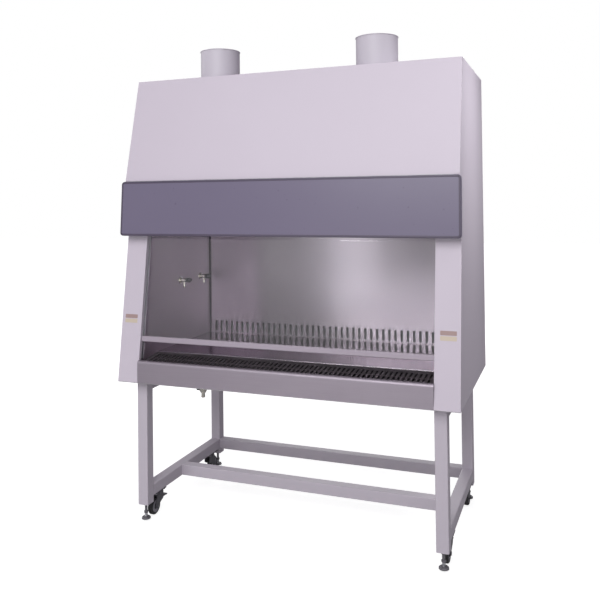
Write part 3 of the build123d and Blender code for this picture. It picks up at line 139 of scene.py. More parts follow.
# Away from the object the glow rises, so the floor meets the white surround without an edge.
reach = tree.nodes.new("ShaderNodeVectorMath")
reach.operation = "LENGTH"
tree.links.new(tree.nodes.new("ShaderNodeTexCoord").outputs["Object"], reach.inputs[0])
fade = tree.nodes.new("ShaderNodeMapRange")
fade.inputs["From Min"].default_value = FADE_START
fade.inputs["From Max"].default_value = FADE_END
fade.inputs["To Min"].default_value = FLOOR_GLOW
fade.inputs["To Max"].default_value = 1.0
tree.links.new(reach.outputs["Value"], fade.inputs["Value"])
glow = tree.nodes.new("ShaderNodeEmission")
tree.links.new(fade.outputs["Result"], glow.inputs["Strength"])
dark = tree.nodes.new("ShaderNodeEmission")
dark.inputs["Strength"].default_value = 0.0
seen = either_ray(tree, "Is Camera Ray", "Is Transmission Ray")
shine = mix_shaders(tree, seen, dark.outputs[0], glow.outputs[0])
both = tree.nodes.new("ShaderNodeAddShader")
tree.links.new(surface.outputs[0], both.inputs[0])
tree.links.new(shine, both.inputs[1])
tree.links.new(both.outputs[0], tree.nodes["Material Output"].inputs["Surface"])
floor.data.materials.append(floor_paint)

for name, place, target, size, spread, power in LAMPS:
    lamp = bpy.data.lights.new(name, "AREA")
    lamp.energy = power
    lamp.shape = "RECTANGLE"
    lamp.size, lamp.size_y = size
    lamp.spread = radians(spread)
    lamp_object = bpy.data.objects.new(name, lamp)
    scene.collection.objects.link(lamp_object)
    lamp_object.location = place
    aim = Vector(target) - Vector(place)
    lamp_object.rotation_euler = aim.to_track_quat("-Z", "Y").to_euler()

# ---- Outer panels, columns and stand ----
# Folded steel sheet with a baked powder coat in a pale lilac grey; the stand's tubes are a
# little darker. The coat has a fine orange-peel skin and slight unevenness over its area.
COAT_CLOUD = (1.6, 3)  # noise scale and detail
COAT_SPECK = (60, 4)
COAT_PEEL = (420, 2)
SPECK_ROUGHNESS = (-0.06, 0.06)
PEEL_DEPTH = 0.0004
FINISH = (
    ("Color", "NodeSocketColor"),
    ("Roughness", "NodeSocketFloat"),
    ("Normal", "NodeSocketVector"),
)


def new_group(name, inputs, outputs=FINISH):
    """A shader node group with named sockets; also its two ends and object coordinates."""
    group = bpy.data.node_groups.new(name, "ShaderNodeTree")
    for label, kind, value in inputs:
        socket = group.interface.new_socket(label, in_out="INPUT", socket_type=kind)
        socket.default_value = value
    for label, kind in outputs:
        group.interface.new_socket(label, in_out="OUTPUT", socket_type=kind)
    given = group.nodes.new("NodeGroupInput").outputs
    result = group.nodes.new("NodeGroupOutput").inputs
    return group, given, result, group.nodes.new("ShaderNodeTexCoord").outputs["Object"]


def add_noise(group, coordinates, scale, detail, stretch=(1, 1, 1)):
    """Noise on stretched object coordinates; returns its factor."""
    mapping = group.nodes.new("ShaderNodeMapping")
    mapping.inputs["Scale"].default_value = stretch
    noise = group.nodes.new("ShaderNodeTexNoise")
    noise.inputs["Scale"].default_value = scale
    noise.inputs["Detail"].default_value = detail
    group.links.new(coordinates, mapping.inputs["Vector"])
    group.links.new(mapping.outputs["Vector"], noise.inputs["Vector"])
    return noise.outputs["Fac"]


def add_range(group, factor, low, high):
    """Map a 0 to 1 factor to the range from low to high."""
    node = group.nodes.new("ShaderNodeMapRange")
    group.links.new(factor, node.inputs["Value"])
    node.inputs["To Min"].default_value = low
    node.inputs["To Max"].default_value = high
    return node.outputs["Result"]


def add_blend(group, factor, given):
    """Mix the group's colour with its shade."""
    mix = group.nodes.new("ShaderNodeMix")
    mix.data_type = "RGBA"
    group.links.new(factor, mix.inputs["Factor"])
    group.links.new(given["Color"], mix.inputs["A"])
    group.links.new(given["Shade"], mix.inputs["B"])
    return mix.outputs["Result"]


def add_relief(group, height, strength, distance):
    """A normal roughened by a height; the strength is a socket or a number."""
    bump = group.nodes.new("ShaderNodeBump")
    bump.inputs["Distance"].default_value = distance
    if isinstance(strength, float):
        bump.inputs["Strength"].default_value = strength
    else:
        group.links.new(strength, bump.inputs["Strength"])
    group.links.new(height, bump.inputs["Height"])
    return bump.outputs["Normal"]


coat, given, result, place = new_group(
    "powder_coat",
    (
        ("Color", "NodeSocketColor", (0.8, 0.8, 0.8, 1)),
        ("Shade", "NodeSocketColor", (0.7, 0.7, 0.7, 1)),
        ("Roughness", "NodeSocketFloat", 0.45),
        ("Unevenness", "NodeSocketFloat", 0.5),
        ("Peel", "NodeSocketFloat", 0.15),
    ),
)
cloud = add_noise(coat, place, *COAT_CLOUD)
speck = add_noise(coat, place, *COAT_SPECK)
peel = add_noise(coat, place, *COAT_PEEL)
amount = calculate(coat, "MULTIPLY", cloud, given["Unevenness"])
rougher = add_range(coat, speck, *SPECK_ROUGHNESS)
coat.links.new(add_blend(coat, amount, given), result["Color"])
coat.links.new(calculate(coat, "ADD", given["Roughness"], rougher), result["Roughness"])
coat.links.new(add_relief(coat, peel, given["Peel"], PEEL_DEPTH), result["Normal"])


def material_from(group, name, values, metallic=0.0, outputs=("Roughness", "Normal"), **fixed):
    """A material whose Principled shader reads a node group; values set the group's inputs."""
    material = bpy.data.materials.new(name)
    material.use_nodes = True
    tree = material.node_tree
    shader = tree.nodes["Principled BSDF"]
    shader.inputs["Metallic"].default_value = metallic
    effect = tree.nodes.new("ShaderNodeGroup")
    effect.node_tree = group
    for label, value in values.items():
        effect.inputs[label].default_value = value
    tree.links.new(effect.outputs["Color"], shader.inputs["Base Color"])
    for label in outputs:
        tree.links.new(effect.outputs[label], shader.inputs[label])
    for label, value in fixed.items():
        shader.inputs[label.replace("_", " ")].default_value = value
    return material


def lay_on(material, *names):
    """Give CAD nodes a material."""
    for name in names:
        for material_slot in nodes[name].material_slots:
            material_slot.material = material


def paint(name, color, shade, roughness=0.54, unevenness=0.6, peel=0.12):
    """Powder-coated finish in one colour."""
    values = {
        "Color": (*color, 1),
        "Shade": (*shade, 1),
        "Roughness": roughness,
        "Unevenness": unevenness,
        "Peel": peel,
    }
    return material_from(coat, name, values)


body_paint = paint("body_paint", (0.62, 0.56, 0.645), (0.57, 0.51, 0.59))
lay_on(
    body_paint,
    "side_panel_left",
    "side_panel_right",
    "rear_panel",
    "roof_panel",
    "front_upper_panel",
    "columns",
)
collar_paint = paint("collar_paint", (0.58, 0.54, 0.61), (0.52, 0.48, 0.55), roughness=0.5)
lay_on(collar_paint, "exhaust_collars")
stand_paint = paint("stand_paint", (0.57, 0.52, 0.59), (0.50, 0.455, 0.52))
lay_on(stand_paint, "stand_legs", "stand_rails")
slate_paint = paint("slate_paint", (0.185, 0.162, 0.240), (0.155, 0.135, 0.205), roughness=0.30)
lay_on(slate_paint, "header_cover")

# ---- Stainless chamber, sash rails, sill and tray ----
# Brushed stainless sheet, its grain running along the length of each panel; satin where hands
# reach and brighter on the side walls, with faint cloudy wiping marks. The back wall's steel is
# a darker copy of the side walls' steel, painted shade. The sash's rails are coated; the front
# grille is near black, painted shade for its shadowed slots.
GRAIN_NOISE = (260, 3)
GRAIN_DEPTH = 0.0002
WIPE_NOISE = (2.2, 4)
WIPE_SHADE = (-0.1, 0.5)
WIPE_ROUGHNESS = (-0.07, 0.09)
ALONG_X = (0.02, 1.0, 1.0)
ALONG_Y = (1.0, 0.02, 1.0)
ALONG_Z = (1.0, 1.0, 0.02)
brush, given, result, place = new_group(
    "brushed_metal",
    (
        ("Color", "NodeSocketColor", (0.6, 0.6, 0.6, 1)),
        ("Shade", "NodeSocketColor", (0.5, 0.5, 0.5, 1)),
        ("Roughness", "NodeSocketFloat", 0.28),
        ("Grain", "NodeSocketFloat", 0.5),
        ("Stretch", "NodeSocketVector", ALONG_X),
    ),
)
along = brush.nodes.new("ShaderNodeVectorMath")
along.operation = "MULTIPLY"
brush.links.new(place, along.inputs[0])
brush.links.new(given["Stretch"], along.inputs[1])
grain = add_noise(brush, along.outputs[0], *GRAIN_NOISE)
wiping = add_noise(brush, place, *WIPE_NOISE)
wiped_shade = add_range(brush, wiping, *WIPE_SHADE)
amount = calculate(brush, "MULTIPLY_ADD", grain, given["Grain"], wiped_shade)
rougher = add_range(brush, wiping, *WIPE_ROUGHNESS)
brush.links.new(add_blend(brush, amount, given), result["Color"])
brush.links.new(calculate(brush, "ADD", given["Roughness"], rougher), result["Roughness"])
brush.links.new(add_relief(brush, grain, given["Grain"], GRAIN_DEPTH), result["Normal"])


def steel(name, color, shade, roughness, grain, stretch, **fixed):
    """Metal sheet with its grain along the small component of the stretch."""
    values = {
        "Color": (*color, 1),
        "Shade": (*shade, 1),
        "Roughness": roughness,
        "Grain": grain,
        "Stretch": stretch,
    }
    return material_from(brush, name, values, metallic=1.0, **fixed)


# Level grain draws each reflection out into an upright streak.
STREAK = {"Anisotropic": 0.97, "Anisotropic_Rotation": 0.25}
# The back wall's steel is a darker copy of the side walls' steel: painted shade.
shaded_wall_steel = steel(
    "shaded_wall_steel", (0.31, 0.27, 0.31), (0.255, 0.22, 0.255), 0.30, 0.10, ALONG_X, **STREAK
)
lay_on(shaded_wall_steel, "chamber_back_wall")
side_steel = steel(
    "side_steel", (0.56, 0.49, 0.56), (0.47, 0.41, 0.47), 0.30, 0.10, ALONG_Y, **STREAK
)
lay_on(side_steel, "chamber_side_walls")
top_steel = steel("top_steel", (0.48, 0.43, 0.48), (0.37, 0.33, 0.37), 0.16, 0.12, ALONG_X)
lay_on(top_steel, "work_tray")
edge_steel = steel("edge_steel", (0.47, 0.42, 0.48), (0.35, 0.305, 0.36), 0.56, 0.4, ALONG_X)
lay_on(edge_steel, "front_sill")
# The grille's near-black colour is painted shade for its shadowed slots.
grille_shade_paint = paint("grille_shade_paint", (0.075, 0.062, 0.072), (0.055, 0.045, 0.053), 0.6, 0.7, 0.2)
lay_on(grille_shade_paint, "front_grille")
rail_finish = paint("rail_finish", (0.40, 0.345, 0.41), (0.35, 0.30, 0.36), 0.5, 0.6, 0.1)
lay_on(rail_finish, "sash_rails")
pan_steel = steel("pan_steel", (0.58, 0.56, 0.58), (0.44, 0.42, 0.46), 0.34, 0.4, ALONG_Y)
lay_on(pan_steel, "base_pan")

# ---- Galvanised inner work ----
# The frames and boxes behind the header cover are folded from zinc-coated sheet, whose crystals
# show as a patchwork of slightly different greys. The filters' rims and the pulleys are
# aluminium; the diffuser, guides, impeller and rear screws are plain brushed metal.
CRYSTAL_SCALE = 60.0
CRYSTAL_ROUGHNESS = (-0.08, 0.08)
CRYSTAL_RELIEF = (0.1, 0.0003)  # strength and distance
spangle, given, result, place = new_group(
    "galvanised_spangle",
    (
        ("Color", "NodeSocketColor", (0.5, 0.5, 0.5, 1)),
        ("Shade", "NodeSocketColor", (0.4, 0.4, 0.4, 1)),
        ("Roughness", "NodeSocketFloat", 0.4),
        ("Crystal", "NodeSocketFloat", CRYSTAL_SCALE),
    ),
)
crystal = spangle.nodes.new("ShaderNodeTexVoronoi")
spangle.links.new(place, crystal.inputs["Vector"])
spangle.links.new(given["Crystal"], crystal.inputs["Scale"])
split = spangle.nodes.new("ShaderNodeSeparateColor")
spangle.links.new(crystal.outputs["Color"], split.inputs["Color"])
facets = split.outputs
rougher = add_range(spangle, facets["Green"], *CRYSTAL_ROUGHNESS)
spangle.links.new(add_blend(spangle, facets["Red"], given), result["Color"])
spangle.links.new(calculate(spangle, "ADD", given["Roughness"], rougher), result["Roughness"])
spangle.links.new(add_relief(spangle, facets["Blue"], *CRYSTAL_RELIEF), result["Normal"])
zinc = material_from(
    spangle,
    "galvanised",
    {"Color": (0.52, 0.53, 0.55, 1), "Shade": (0.40, 0.41, 0.44, 1), "Roughness": 0.42},
    metallic=0.9,
)
lay_on(zinc, "header_frame", "plenum_box", "exhaust_hoods", "blower_housing", "balance_frames")
diffuser_steel = steel("diffuser_steel", (0.60, 0.60, 0.62), (0.5, 0.5, 0.53), 0.4, 0.3, ALONG_X)
lay_on(diffuser_steel, "diffuser_plate")
aluminium = steel("aluminium", (0.72, 0.72, 0.74), (0.62, 0.62, 0.65), 0.38, 0.5, ALONG_X)
lay_on(aluminium, "filter_frames", "pulley_left", "pulley_right")
guide_metal = steel("guide_metal", (0.70, 0.70, 0.72), (0.6, 0.6, 0.63), 0.4, 0.5, ALONG_Z)
lay_on(guide_metal, "sash_guides")
impeller_metal = steel("impeller_metal", (0.6, 0.6, 0.62), (0.5, 0.5, 0.53), 0.42, 0.5, ALONG_Z)
lay_on(impeller_metal, "impeller")
screw_metal = steel("screw_metal", (0.62, 0.62, 0.64), (0.5, 0.5, 0.52), 0.35, 0.4, ALONG_Z)
lay_on(screw_metal, "rear_panel_screws")

# ---- Filters, lamps and glass ----
# Pleated glass-fibre paper, frosted fluorescent tubes and a clear toughened sash pane with a
# faint grey-green tint. The paper is matt with fine fibres; the pane is thin, with faint smears.
FIBRE_NOISE = (300, 5, (1, 1, 0.2))  # scale, detail and stretch
FIBRE_ROUGHNESS = (-0.05, 0.05)
FIBRE_RELIEF = (0.2, 0.0004)
SMEAR_NOISE = (3, 5, (1, 1, 2.5))
GLASS_IOR = 1.5
GLASS_TINT = (0.94, 0.955, 0.95, 1)
fibre, given, result, place = new_group(
    "fibre_paper",
    (
        ("Color", "NodeSocketColor", (0.9, 0.9, 0.9, 1)),
        ("Shade", "NodeSocketColor", (0.8, 0.8, 0.8, 1)),
        ("Roughness", "NodeSocketFloat", 0.85),
    ),
)
strand = add_noise(fibre, place, *FIBRE_NOISE)
rougher = add_range(fibre, strand, *FIBRE_ROUGHNESS)
fibre.links.new(add_blend(fibre, strand, given), result["Color"])
fibre.links.new(calculate(fibre, "ADD", given["Roughness"], rougher), result["Roughness"])
fibre.links.new(add_relief(fibre, strand, *FIBRE_RELIEF), result["Normal"])
paper_values = {"Color": (0.86, 0.85, 0.80, 1), "Shade": (0.76, 0.75, 0.69, 1)}
filter_paper = material_from(fibre, "filter_paper", paper_values)
lay_on(filter_paper, "filter_media")

smear, given, result, place = new_group(
    "wiped_glass",
    (
        ("Color", "NodeSocketColor", (0.97, 0.985, 0.98, 1)),
        ("Shade", "NodeSocketColor", (0.93, 0.95, 0.945, 1)),
    ),
    outputs=(("Color", "NodeSocketColor"),),
)
smear.links.new(add_blend(smear, add_noise(smear, place, *SMEAR_NOISE), given), result["Color"])
sash_glass = material_from(
    smear,
    "sash_glass",
    {},
    outputs=(),
    Roughness=0.0,
    Transmission_Weight=1.0,
    IOR=GLASS_IOR,
)
# Light passes the pane straight, so what is behind it isn't shaded as if by a solid block.
tree = sash_glass.node_tree
clear = tree.nodes.new("ShaderNodeBsdfTransparent")
clear.inputs["Color"].default_value = GLASS_TINT
passing = either_ray(tree, "Is Shadow Ray", "Is Diffuse Ray")
solid = tree.nodes["Principled BSDF"].outputs[0]
pane = mix_shaders(tree, passing, solid, clear.outputs[0])
tree.links.new(pane, tree.nodes["Material Output"].inputs["Surface"])
lay_on(sash_glass, "sash_glass")
lamp_glass = material_from(
    smear,
    "lamp_glass",
    {"Color": (0.93, 0.94, 0.96, 1), "Shade": (0.86, 0.87, 0.90, 1)},
    outputs=(),
    Roughness=0.3,
    Emission_Color=(1, 1, 1, 1),
    Emission_Strength=0.6,
)
lay_on(lamp_glass, "lamp_tubes")

# ---- Motors, castings, valves, plastics and rubber ----
# The small hardware: painted motor shell, cast-iron weights, nickel-plated cocks with dark
# levers, black moulded plastic, white lamp holders, steel cable, caster forks and levelling
# feet with a dark coat, and black tyres.
motor_metal = paint("motor_metal", (0.10, 0.10, 0.11), (0.14, 0.14, 0.15), 0.5, 0.8, 0.4)
lay_on(motor_metal, "blower_motor")
cast_iron = paint("cast_iron", (0.085, 0.085, 0.09), (0.12, 0.115, 0.11), 0.62, 0.8, 0.9)
lay_on(cast_iron, "counterweight_left", "counterweight_right")
valve_metal = steel("valve_metal", (0.66, 0.63, 0.58), (0.5, 0.47, 0.43), 0.25, 0.3, ALONG_Y)
lay_on(valve_metal, "service_cocks", "drain_valve")
lever_paint = paint("lever_paint", (0.035, 0.033, 0.045), (0.06, 0.055, 0.07), 0.35, 0.6, 0.15)
lay_on(lever_paint, "cock_handle_front", "cock_handle_rear", "drain_lever")
black_plastic = paint("black_plastic", (0.03, 0.03, 0.034), (0.05, 0.05, 0.055), 0.4, 0.7, 0.35)
lay_on(black_plastic, "control_box", "power_inlet", "mains_rocker")
fitting_plastic = paint("fitting_plastic", (0.72, 0.72, 0.72), (0.64, 0.64, 0.65), 0.4, 0.6, 0.2)
lay_on(fitting_plastic, "lamp_fittings")
ALL_WAYS = (1, 1, 1)
cable_steel = steel("cable_steel", (0.45, 0.45, 0.47), (0.30, 0.30, 0.32), 0.35, 0.9, ALL_WAYS)
lay_on(cable_steel, "sash_cables")
caster_metal = paint("caster_metal", (0.075, 0.072, 0.085), (0.11, 0.105, 0.12), 0.38, 0.7, 0.2)
foot_metal = paint("foot_metal", (0.12, 0.115, 0.13), (0.17, 0.16, 0.18), 0.4, 0.7, 0.2)
rubber = paint("caster_rubber", (0.022, 0.022, 0.025), (0.045, 0.044, 0.047), 0.62, 0.9, 0.5)
lay_on(caster_metal, "caster_plates", "brake_pedal_left", "brake_pedal_right")
CORNERS = [(end, side) for end in ("front", "rear") for side in ("left", "right")]
for end, side in CORNERS:
    lay_on(caster_metal, f"caster_fork_{end}_{side}")
    lay_on(foot_metal, f"levelling_foot_{end}_{side}")
    lay_on(rubber, f"caster_wheel_{end}_{side}")

# ---- Edge of the header cover ----
# A dark slate strip runs round the front of the cover, over its rounded folds; its dark colour
# is painted shade on the cover's rounded edges. It stands under a millimetre proud of the face.
SHADE_EDGE_WIDTH = 0.009
SHADE_EDGE_PROUD = 0.0006
SHADE_EDGE_DEPTH = 0.003
SHADE_EDGE_ROUND = (2 * SHADE_EDGE_PROUD, 3)  # size and segments
COVER_HALF_WIDTH = 0.757
COVER_HEIGHT = 0.2416
COVER_MIDDLE = (0, -0.3622, 1.3975)
COVER_TILT = 4.0
COVER_CORNER = (0.013, 8)  # size and segments
SMOOTH_ANGLE = 35


def begin(kind, name, **size):
    """Add a mesh primitive as the start of a named piece."""
    bpy.ops.object.select_all(action="DESELECT")
    getattr(bpy.ops.mesh, f"primitive_{kind}_add")(**size)
    piece = bpy.context.object
    piece.name = name
    piece.data.name = name
    return piece


def choose(piece, kind, wanted):
    """In edit mode, select just the verts, edges or faces that a test on their middle wants."""
    bpy.ops.mesh.select_mode(type=kind)
    bpy.ops.mesh.select_all(action="DESELECT")
    mesh = bmesh.from_edit_mesh(piece.data)
    if kind == "FACE":
        for face in mesh.faces:
            face.select_set(wanted(face.calc_center_median(), face.normal))
    elif kind == "EDGE":
        for edge in mesh.edges:
            first, last = (vert.co for vert in edge.verts)
            edge.select_set(wanted((first + last) / 2, last - first))
    else:
        for vert in mesh.verts:
            vert.select_set(wanted(vert.co, vert.normal))
    mesh.select_flush_mode()
    bmesh.update_edit_mesh(piece.data)


def round_off(size, segments, affect="EDGES"):
    """Bevel what is selected."""
    bpy.ops.mesh.bevel(offset=size, segments=segments, affect=affect)


def complete(piece, matrix, material, body):
    """Leave edit mode, lay the mesh in its place and hand the piece over."""
    if piece.mode == "EDIT":
        bpy.ops.mesh.select_all(action="SELECT")
        bpy.ops.mesh.normals_make_consistent(inside=False)
        bpy.ops.object.mode_set(mode="OBJECT")
    bpy.ops.object.transform_apply(location=True, rotation=True, scale=True)
    piece.data.transform(matrix)
    bpy.ops.object.shade_smooth_by_angle(angle=radians(SMOOTH_ANGLE))
    piece.data.materials.append(material)
    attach(piece, body)
    return piece


def repeat(piece, name, matrix, body):
    """A copy of a finished piece with its own mesh, moved by a matrix."""
    copy = piece.copy()
    copy.data = piece.data.copy()
    copy.name = copy.data.name = name
    bpy.context.scene.collection.objects.link(copy)
    copy.data.transform(matrix)
    if matrix.determinant() < 0:
        copy.data.flip_normals()
    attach(copy, body)
    return copy


# Painted shade: a dark strip over the cover's rounded edges.
shade_edge_paint = paint("shade_edge_paint", (0.095, 0.078, 0.120), (0.075, 0.06, 0.10), roughness=0.42)
shade_edge = begin("plane", "header_cover_shade_edge", size=1)
shade_edge.scale = (2 * COVER_HALF_WIDTH, COVER_HEIGHT, 1)
bpy.ops.object.transform_apply(scale=True)
bpy.ops.object.mode_set(mode="EDIT")
choose(shade_edge, "VERT", lambda place, normal: True)
round_off(*COVER_CORNER, affect="VERTICES")
choose(shade_edge, "FACE", lambda place, normal: True)
bpy.ops.mesh.inset(thickness=SHADE_EDGE_WIDTH)
bpy.ops.mesh.delete(type="FACE")
bpy.ops.mesh.select_all(action="SELECT")
bpy.ops.mesh.extrude_region_move(TRANSFORM_OT_translate={"value": (0, 0, -SHADE_EDGE_DEPTH)})
choose(shade_edge, "EDGE", lambda place, along: place.z > -SHADE_EDGE_DEPTH / 2)
round_off(*SHADE_EDGE_ROUND)
cover_plane = (
    Matrix.Translation(COVER_MIDDLE)
    @ Matrix.Rotation(radians(-COVER_TILT), 4, "X")
    @ Matrix.Rotation(radians(90), 4, "X")
    @ Matrix.Translation((0, 0, SHADE_EDGE_PROUD))
)
complete(shade_edge, cover_plane, shade_edge_paint, "header_cover")

# ---- Height marks on the columns ----
# Two plain strips of coloured tape on each column, brown over pale yellow, at the height that
# the sash is set to. They are blank.
MARK_SIZE = (0.063, 0.017)
MARK_THICK = 0.0004
MARK_CORNER = (0.002, 3)
MARK_EDGE = (MARK_THICK / 4, 1)
MARK_X = 0.703
MARK_HEIGHTS = (0.268, 0.288)
MARK_COLORS = (
    ("mark_yellow", (0.62, 0.53, 0.43), (0.57, 0.48, 0.38)),
    ("mark_brown", (0.40, 0.28, 0.27), (0.34, 0.24, 0.23)),
)
COLUMN_LEAN = radians(8)
COLUMN_FOOT = (-0.405, 0.632)  # y and z of the leaning face's low edge
MIRROR = Matrix.Diagonal((-1, 1, 1, 1))
column_face = Matrix(
    (
        (1, 0, 0, 0),
        (0, sin(COLUMN_LEAN), -cos(COLUMN_LEAN), COLUMN_FOOT[0]),
        (0, cos(COLUMN_LEAN), sin(COLUMN_LEAN), COLUMN_FOOT[1]),
        (0, 0, 0, 1),
    )
)
for (name, color, shade), height in zip(MARK_COLORS, MARK_HEIGHTS):
    tape = paint(name, color, shade, roughness=0.5)
    mark = begin("cube", f"{name}_right", size=1)
    mark.scale = (*MARK_SIZE, MARK_THICK)
    bpy.ops.object.transform_apply(scale=True)
    bpy.ops.object.mode_set(mode="EDIT")
    choose(mark, "EDGE", lambda place, along: abs(along.z) > MARK_THICK / 2)
    round_off(*MARK_CORNER)
    choose(mark, "EDGE", lambda place, along: place.z > MARK_THICK / 4)
    round_off(*MARK_EDGE)
    on_column = column_face @ Matrix.Translation((MARK_X, height, MARK_THICK / 2))
    complete(mark, on_column, tape, "cabinet")
    repeat(mark, f"{name}_left", MIRROR, "cabinet")

# ---- Painted shade in the chamber's corners ----
# A dark film closes the upright corners between the back wall and the side walls; its dark
# colour is painted shade in the corners. It is a thin film on both sheets, so the work tray
# still lifts past it.
CORNER_SHADE_FILM = 0.00035
CORNER_SHADE_ON_BACK = 0.008
CORNER_SHADE_ON_SIDE = 0.006
CORNER_SHADE_HALF_WIDTH = 0.65
CORNER_SHADE_Y = 0.283
CORNER_SHADE_SPAN = (0.7405, 1.2875)
FACING = 0.9  # least share of a normal that still faces along an axis
# Painted shade: the corner film's dark colour stands for the shade in the chamber's upright
# corners.
corner_shade_paint = paint("corner_shade_paint", (0.05, 0.035, 0.055), (0.08, 0.06, 0.085), 0.55, 0.8, 0.3)
corner_shade = begin("cube", "chamber_corner_shade_left", size=1)
corner_shade.scale = (CORNER_SHADE_ON_BACK, CORNER_SHADE_FILM, CORNER_SHADE_SPAN[1] - CORNER_SHADE_SPAN[0])
corner_shade.location = (
    -CORNER_SHADE_HALF_WIDTH + CORNER_SHADE_ON_BACK / 2,
    CORNER_SHADE_Y - CORNER_SHADE_FILM / 2,
    (CORNER_SHADE_SPAN[0] + CORNER_SHADE_SPAN[1]) / 2,
)
bpy.ops.object.transform_apply(location=True, rotation=True, scale=True)
bpy.ops.object.mode_set(mode="EDIT")
bpy.ops.mesh.select_all(action="SELECT")
shade_corner_x = -CORNER_SHADE_HALF_WIDTH + CORNER_SHADE_FILM
bpy.ops.mesh.bisect(plane_co=(shade_corner_x, 0, 0), plane_no=(1, 0, 0))
choose(corner_shade, "FACE", lambda place, normal: normal.y < -FACING and place.x < shade_corner_x)
bpy.ops.mesh.extrude_region_move(
    TRANSFORM_OT_translate={"value": (0, CORNER_SHADE_FILM - CORNER_SHADE_ON_SIDE, 0)}
)
complete(corner_shade, Matrix.Identity(4), corner_shade_paint, "cabinet")
repeat(corner_shade, "chamber_corner_shade_right", MIRROR, "cabinet")

# ---- Caster wheel centres ----
# Pale grey moulded discs that fill both faces of each wheel inside the tyre, with a raised
# rim and a sunk ring; the axle's boss passes through the middle.
DISC_RADIUS = 0.0275
DISC_HOLE = 0.0135
DISC_OUT = 0.0112
DISC_THICK = 0.002
DISC_LIP = 0.0025
DISC_STEP = (0.002, 0.0018)  # width and depth
HUB_STEP = (0.0015, 0.0018)
HUB_LIP = 0.0015
disc_web = DISC_RADIUS - DISC_LIP - DISC_STEP[0] - HUB_STEP[0] - HUB_LIP - DISC_HOLE
KINGPIN_Y = {"front": -0.230, "rear": 0.288}
TRAIL = {"front": -0.025, "rear": 0.025}
LEG_X = {"left": -0.665, "right": 0.665}
WHEEL_HEIGHT = 0.0375
disc_plastic = paint("disc_plastic", (0.30, 0.285, 0.33), (0.24, 0.23, 0.27), 0.4, 0.7, 0.2)
disc = begin("circle", "wheel_disc", vertices=48, radius=DISC_RADIUS, fill_type="NGON")
bpy.ops.object.mode_set(mode="EDIT")
bpy.ops.mesh.select_all(action="SELECT")
bpy.ops.mesh.inset(thickness=DISC_LIP)
bpy.ops.mesh.inset(thickness=DISC_STEP[0], depth=-DISC_STEP[1])
bpy.ops.mesh.inset(thickness=disc_web)
bpy.ops.mesh.inset(thickness=HUB_STEP[0], depth=HUB_STEP[1])
bpy.ops.mesh.inset(thickness=HUB_LIP)
bpy.ops.mesh.delete(type="FACE")
bpy.ops.mesh.select_all(action="SELECT")
bpy.ops.mesh.normals_make_consistent(inside=False)
bpy.ops.object.mode_set(mode="OBJECT")
solidify = disc.modifiers.new("thickness", "SOLIDIFY")
solidify.thickness = DISC_THICK
bpy.ops.object.modifier_apply(modifier=solidify.name)
disc.data.materials.append(disc_plastic)
turned = Matrix.Translation((DISC_OUT, 0, 0)) @ Matrix.Rotation(radians(90), 4, "Y")
for end, side in CORNERS:
    body = f"caster_wheel_{end}_{side}"
    hub = Matrix.Translation((LEG_X[side], KINGPIN_Y[end] + TRAIL[end], WHEEL_HEIGHT))
    for face, flip in (("outer", Matrix.Identity(4)), ("inner", MIRROR)):
        repeat(disc, f"wheel_disc_{face}_{end}_{side}", hub @ flip @ turned, body)
bpy.data.objects.remove(disc)

# ---- Caster plate bolts ----
# Each caster's top plate is held to the low rail by four zinc-plated hexagon bolts, heads down,
# each with a plain washer.
BOLT_RADIUS = 0.0056
BOLT_HEAD = 0.0040
BOLT_ROUND = (0.0008, 2)
WASHER_RADIUS = 0.0074
WASHER_THICK = 0.0012
BOLT_SPREAD = (0.0165, 0.0330)
PLATE_THICK = 0.004
plate_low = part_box("caster_plates")[1][2] - PLATE_THICK
bolt_zinc = steel("bolt_zinc", (0.62, 0.62, 0.64), (0.46, 0.46, 0.50), 0.36, 0.5, ALONG_Z)
washer = begin("cylinder", "washer", vertices=32, radius=WASHER_RADIUS, depth=WASHER_THICK)
bolt = begin("cylinder", "caster_bolt", vertices=6, radius=BOLT_RADIUS, depth=BOLT_HEAD)
bpy.ops.object.mode_set(mode="EDIT")
choose(bolt, "EDGE", lambda place, along: place.z < -BOLT_HEAD / 4)
round_off(*BOLT_ROUND)
bpy.ops.object.mode_set(mode="OBJECT")
bolt.data.transform(Matrix.Translation((0, 0, -WASHER_THICK - BOLT_HEAD / 2)))
washer.data.transform(Matrix.Translation((0, 0, -WASHER_THICK / 2)))
washer.select_set(True)
bolt.select_set(True)
bpy.context.view_layer.objects.active = bolt
bpy.ops.object.join()
bpy.ops.object.shade_smooth_by_angle(angle=radians(SMOOTH_ANGLE))
bolt.data.materials.append(bolt_zinc)
for end, side in CORNERS:
    for across, column in (("left", -1), ("right", 1)):
        for along, row in (("near", -1), ("far", 1)):
            place = (
                LEG_X[side] + column * BOLT_SPREAD[0],
                KINGPIN_Y[end] + row * BOLT_SPREAD[1],
                plate_low,
            )
            name = f"caster_bolt_{end}_{side}_{along}_{across}"
            repeat(bolt, name, Matrix.Translation(place), "cabinet")
bpy.data.objects.remove(bolt)

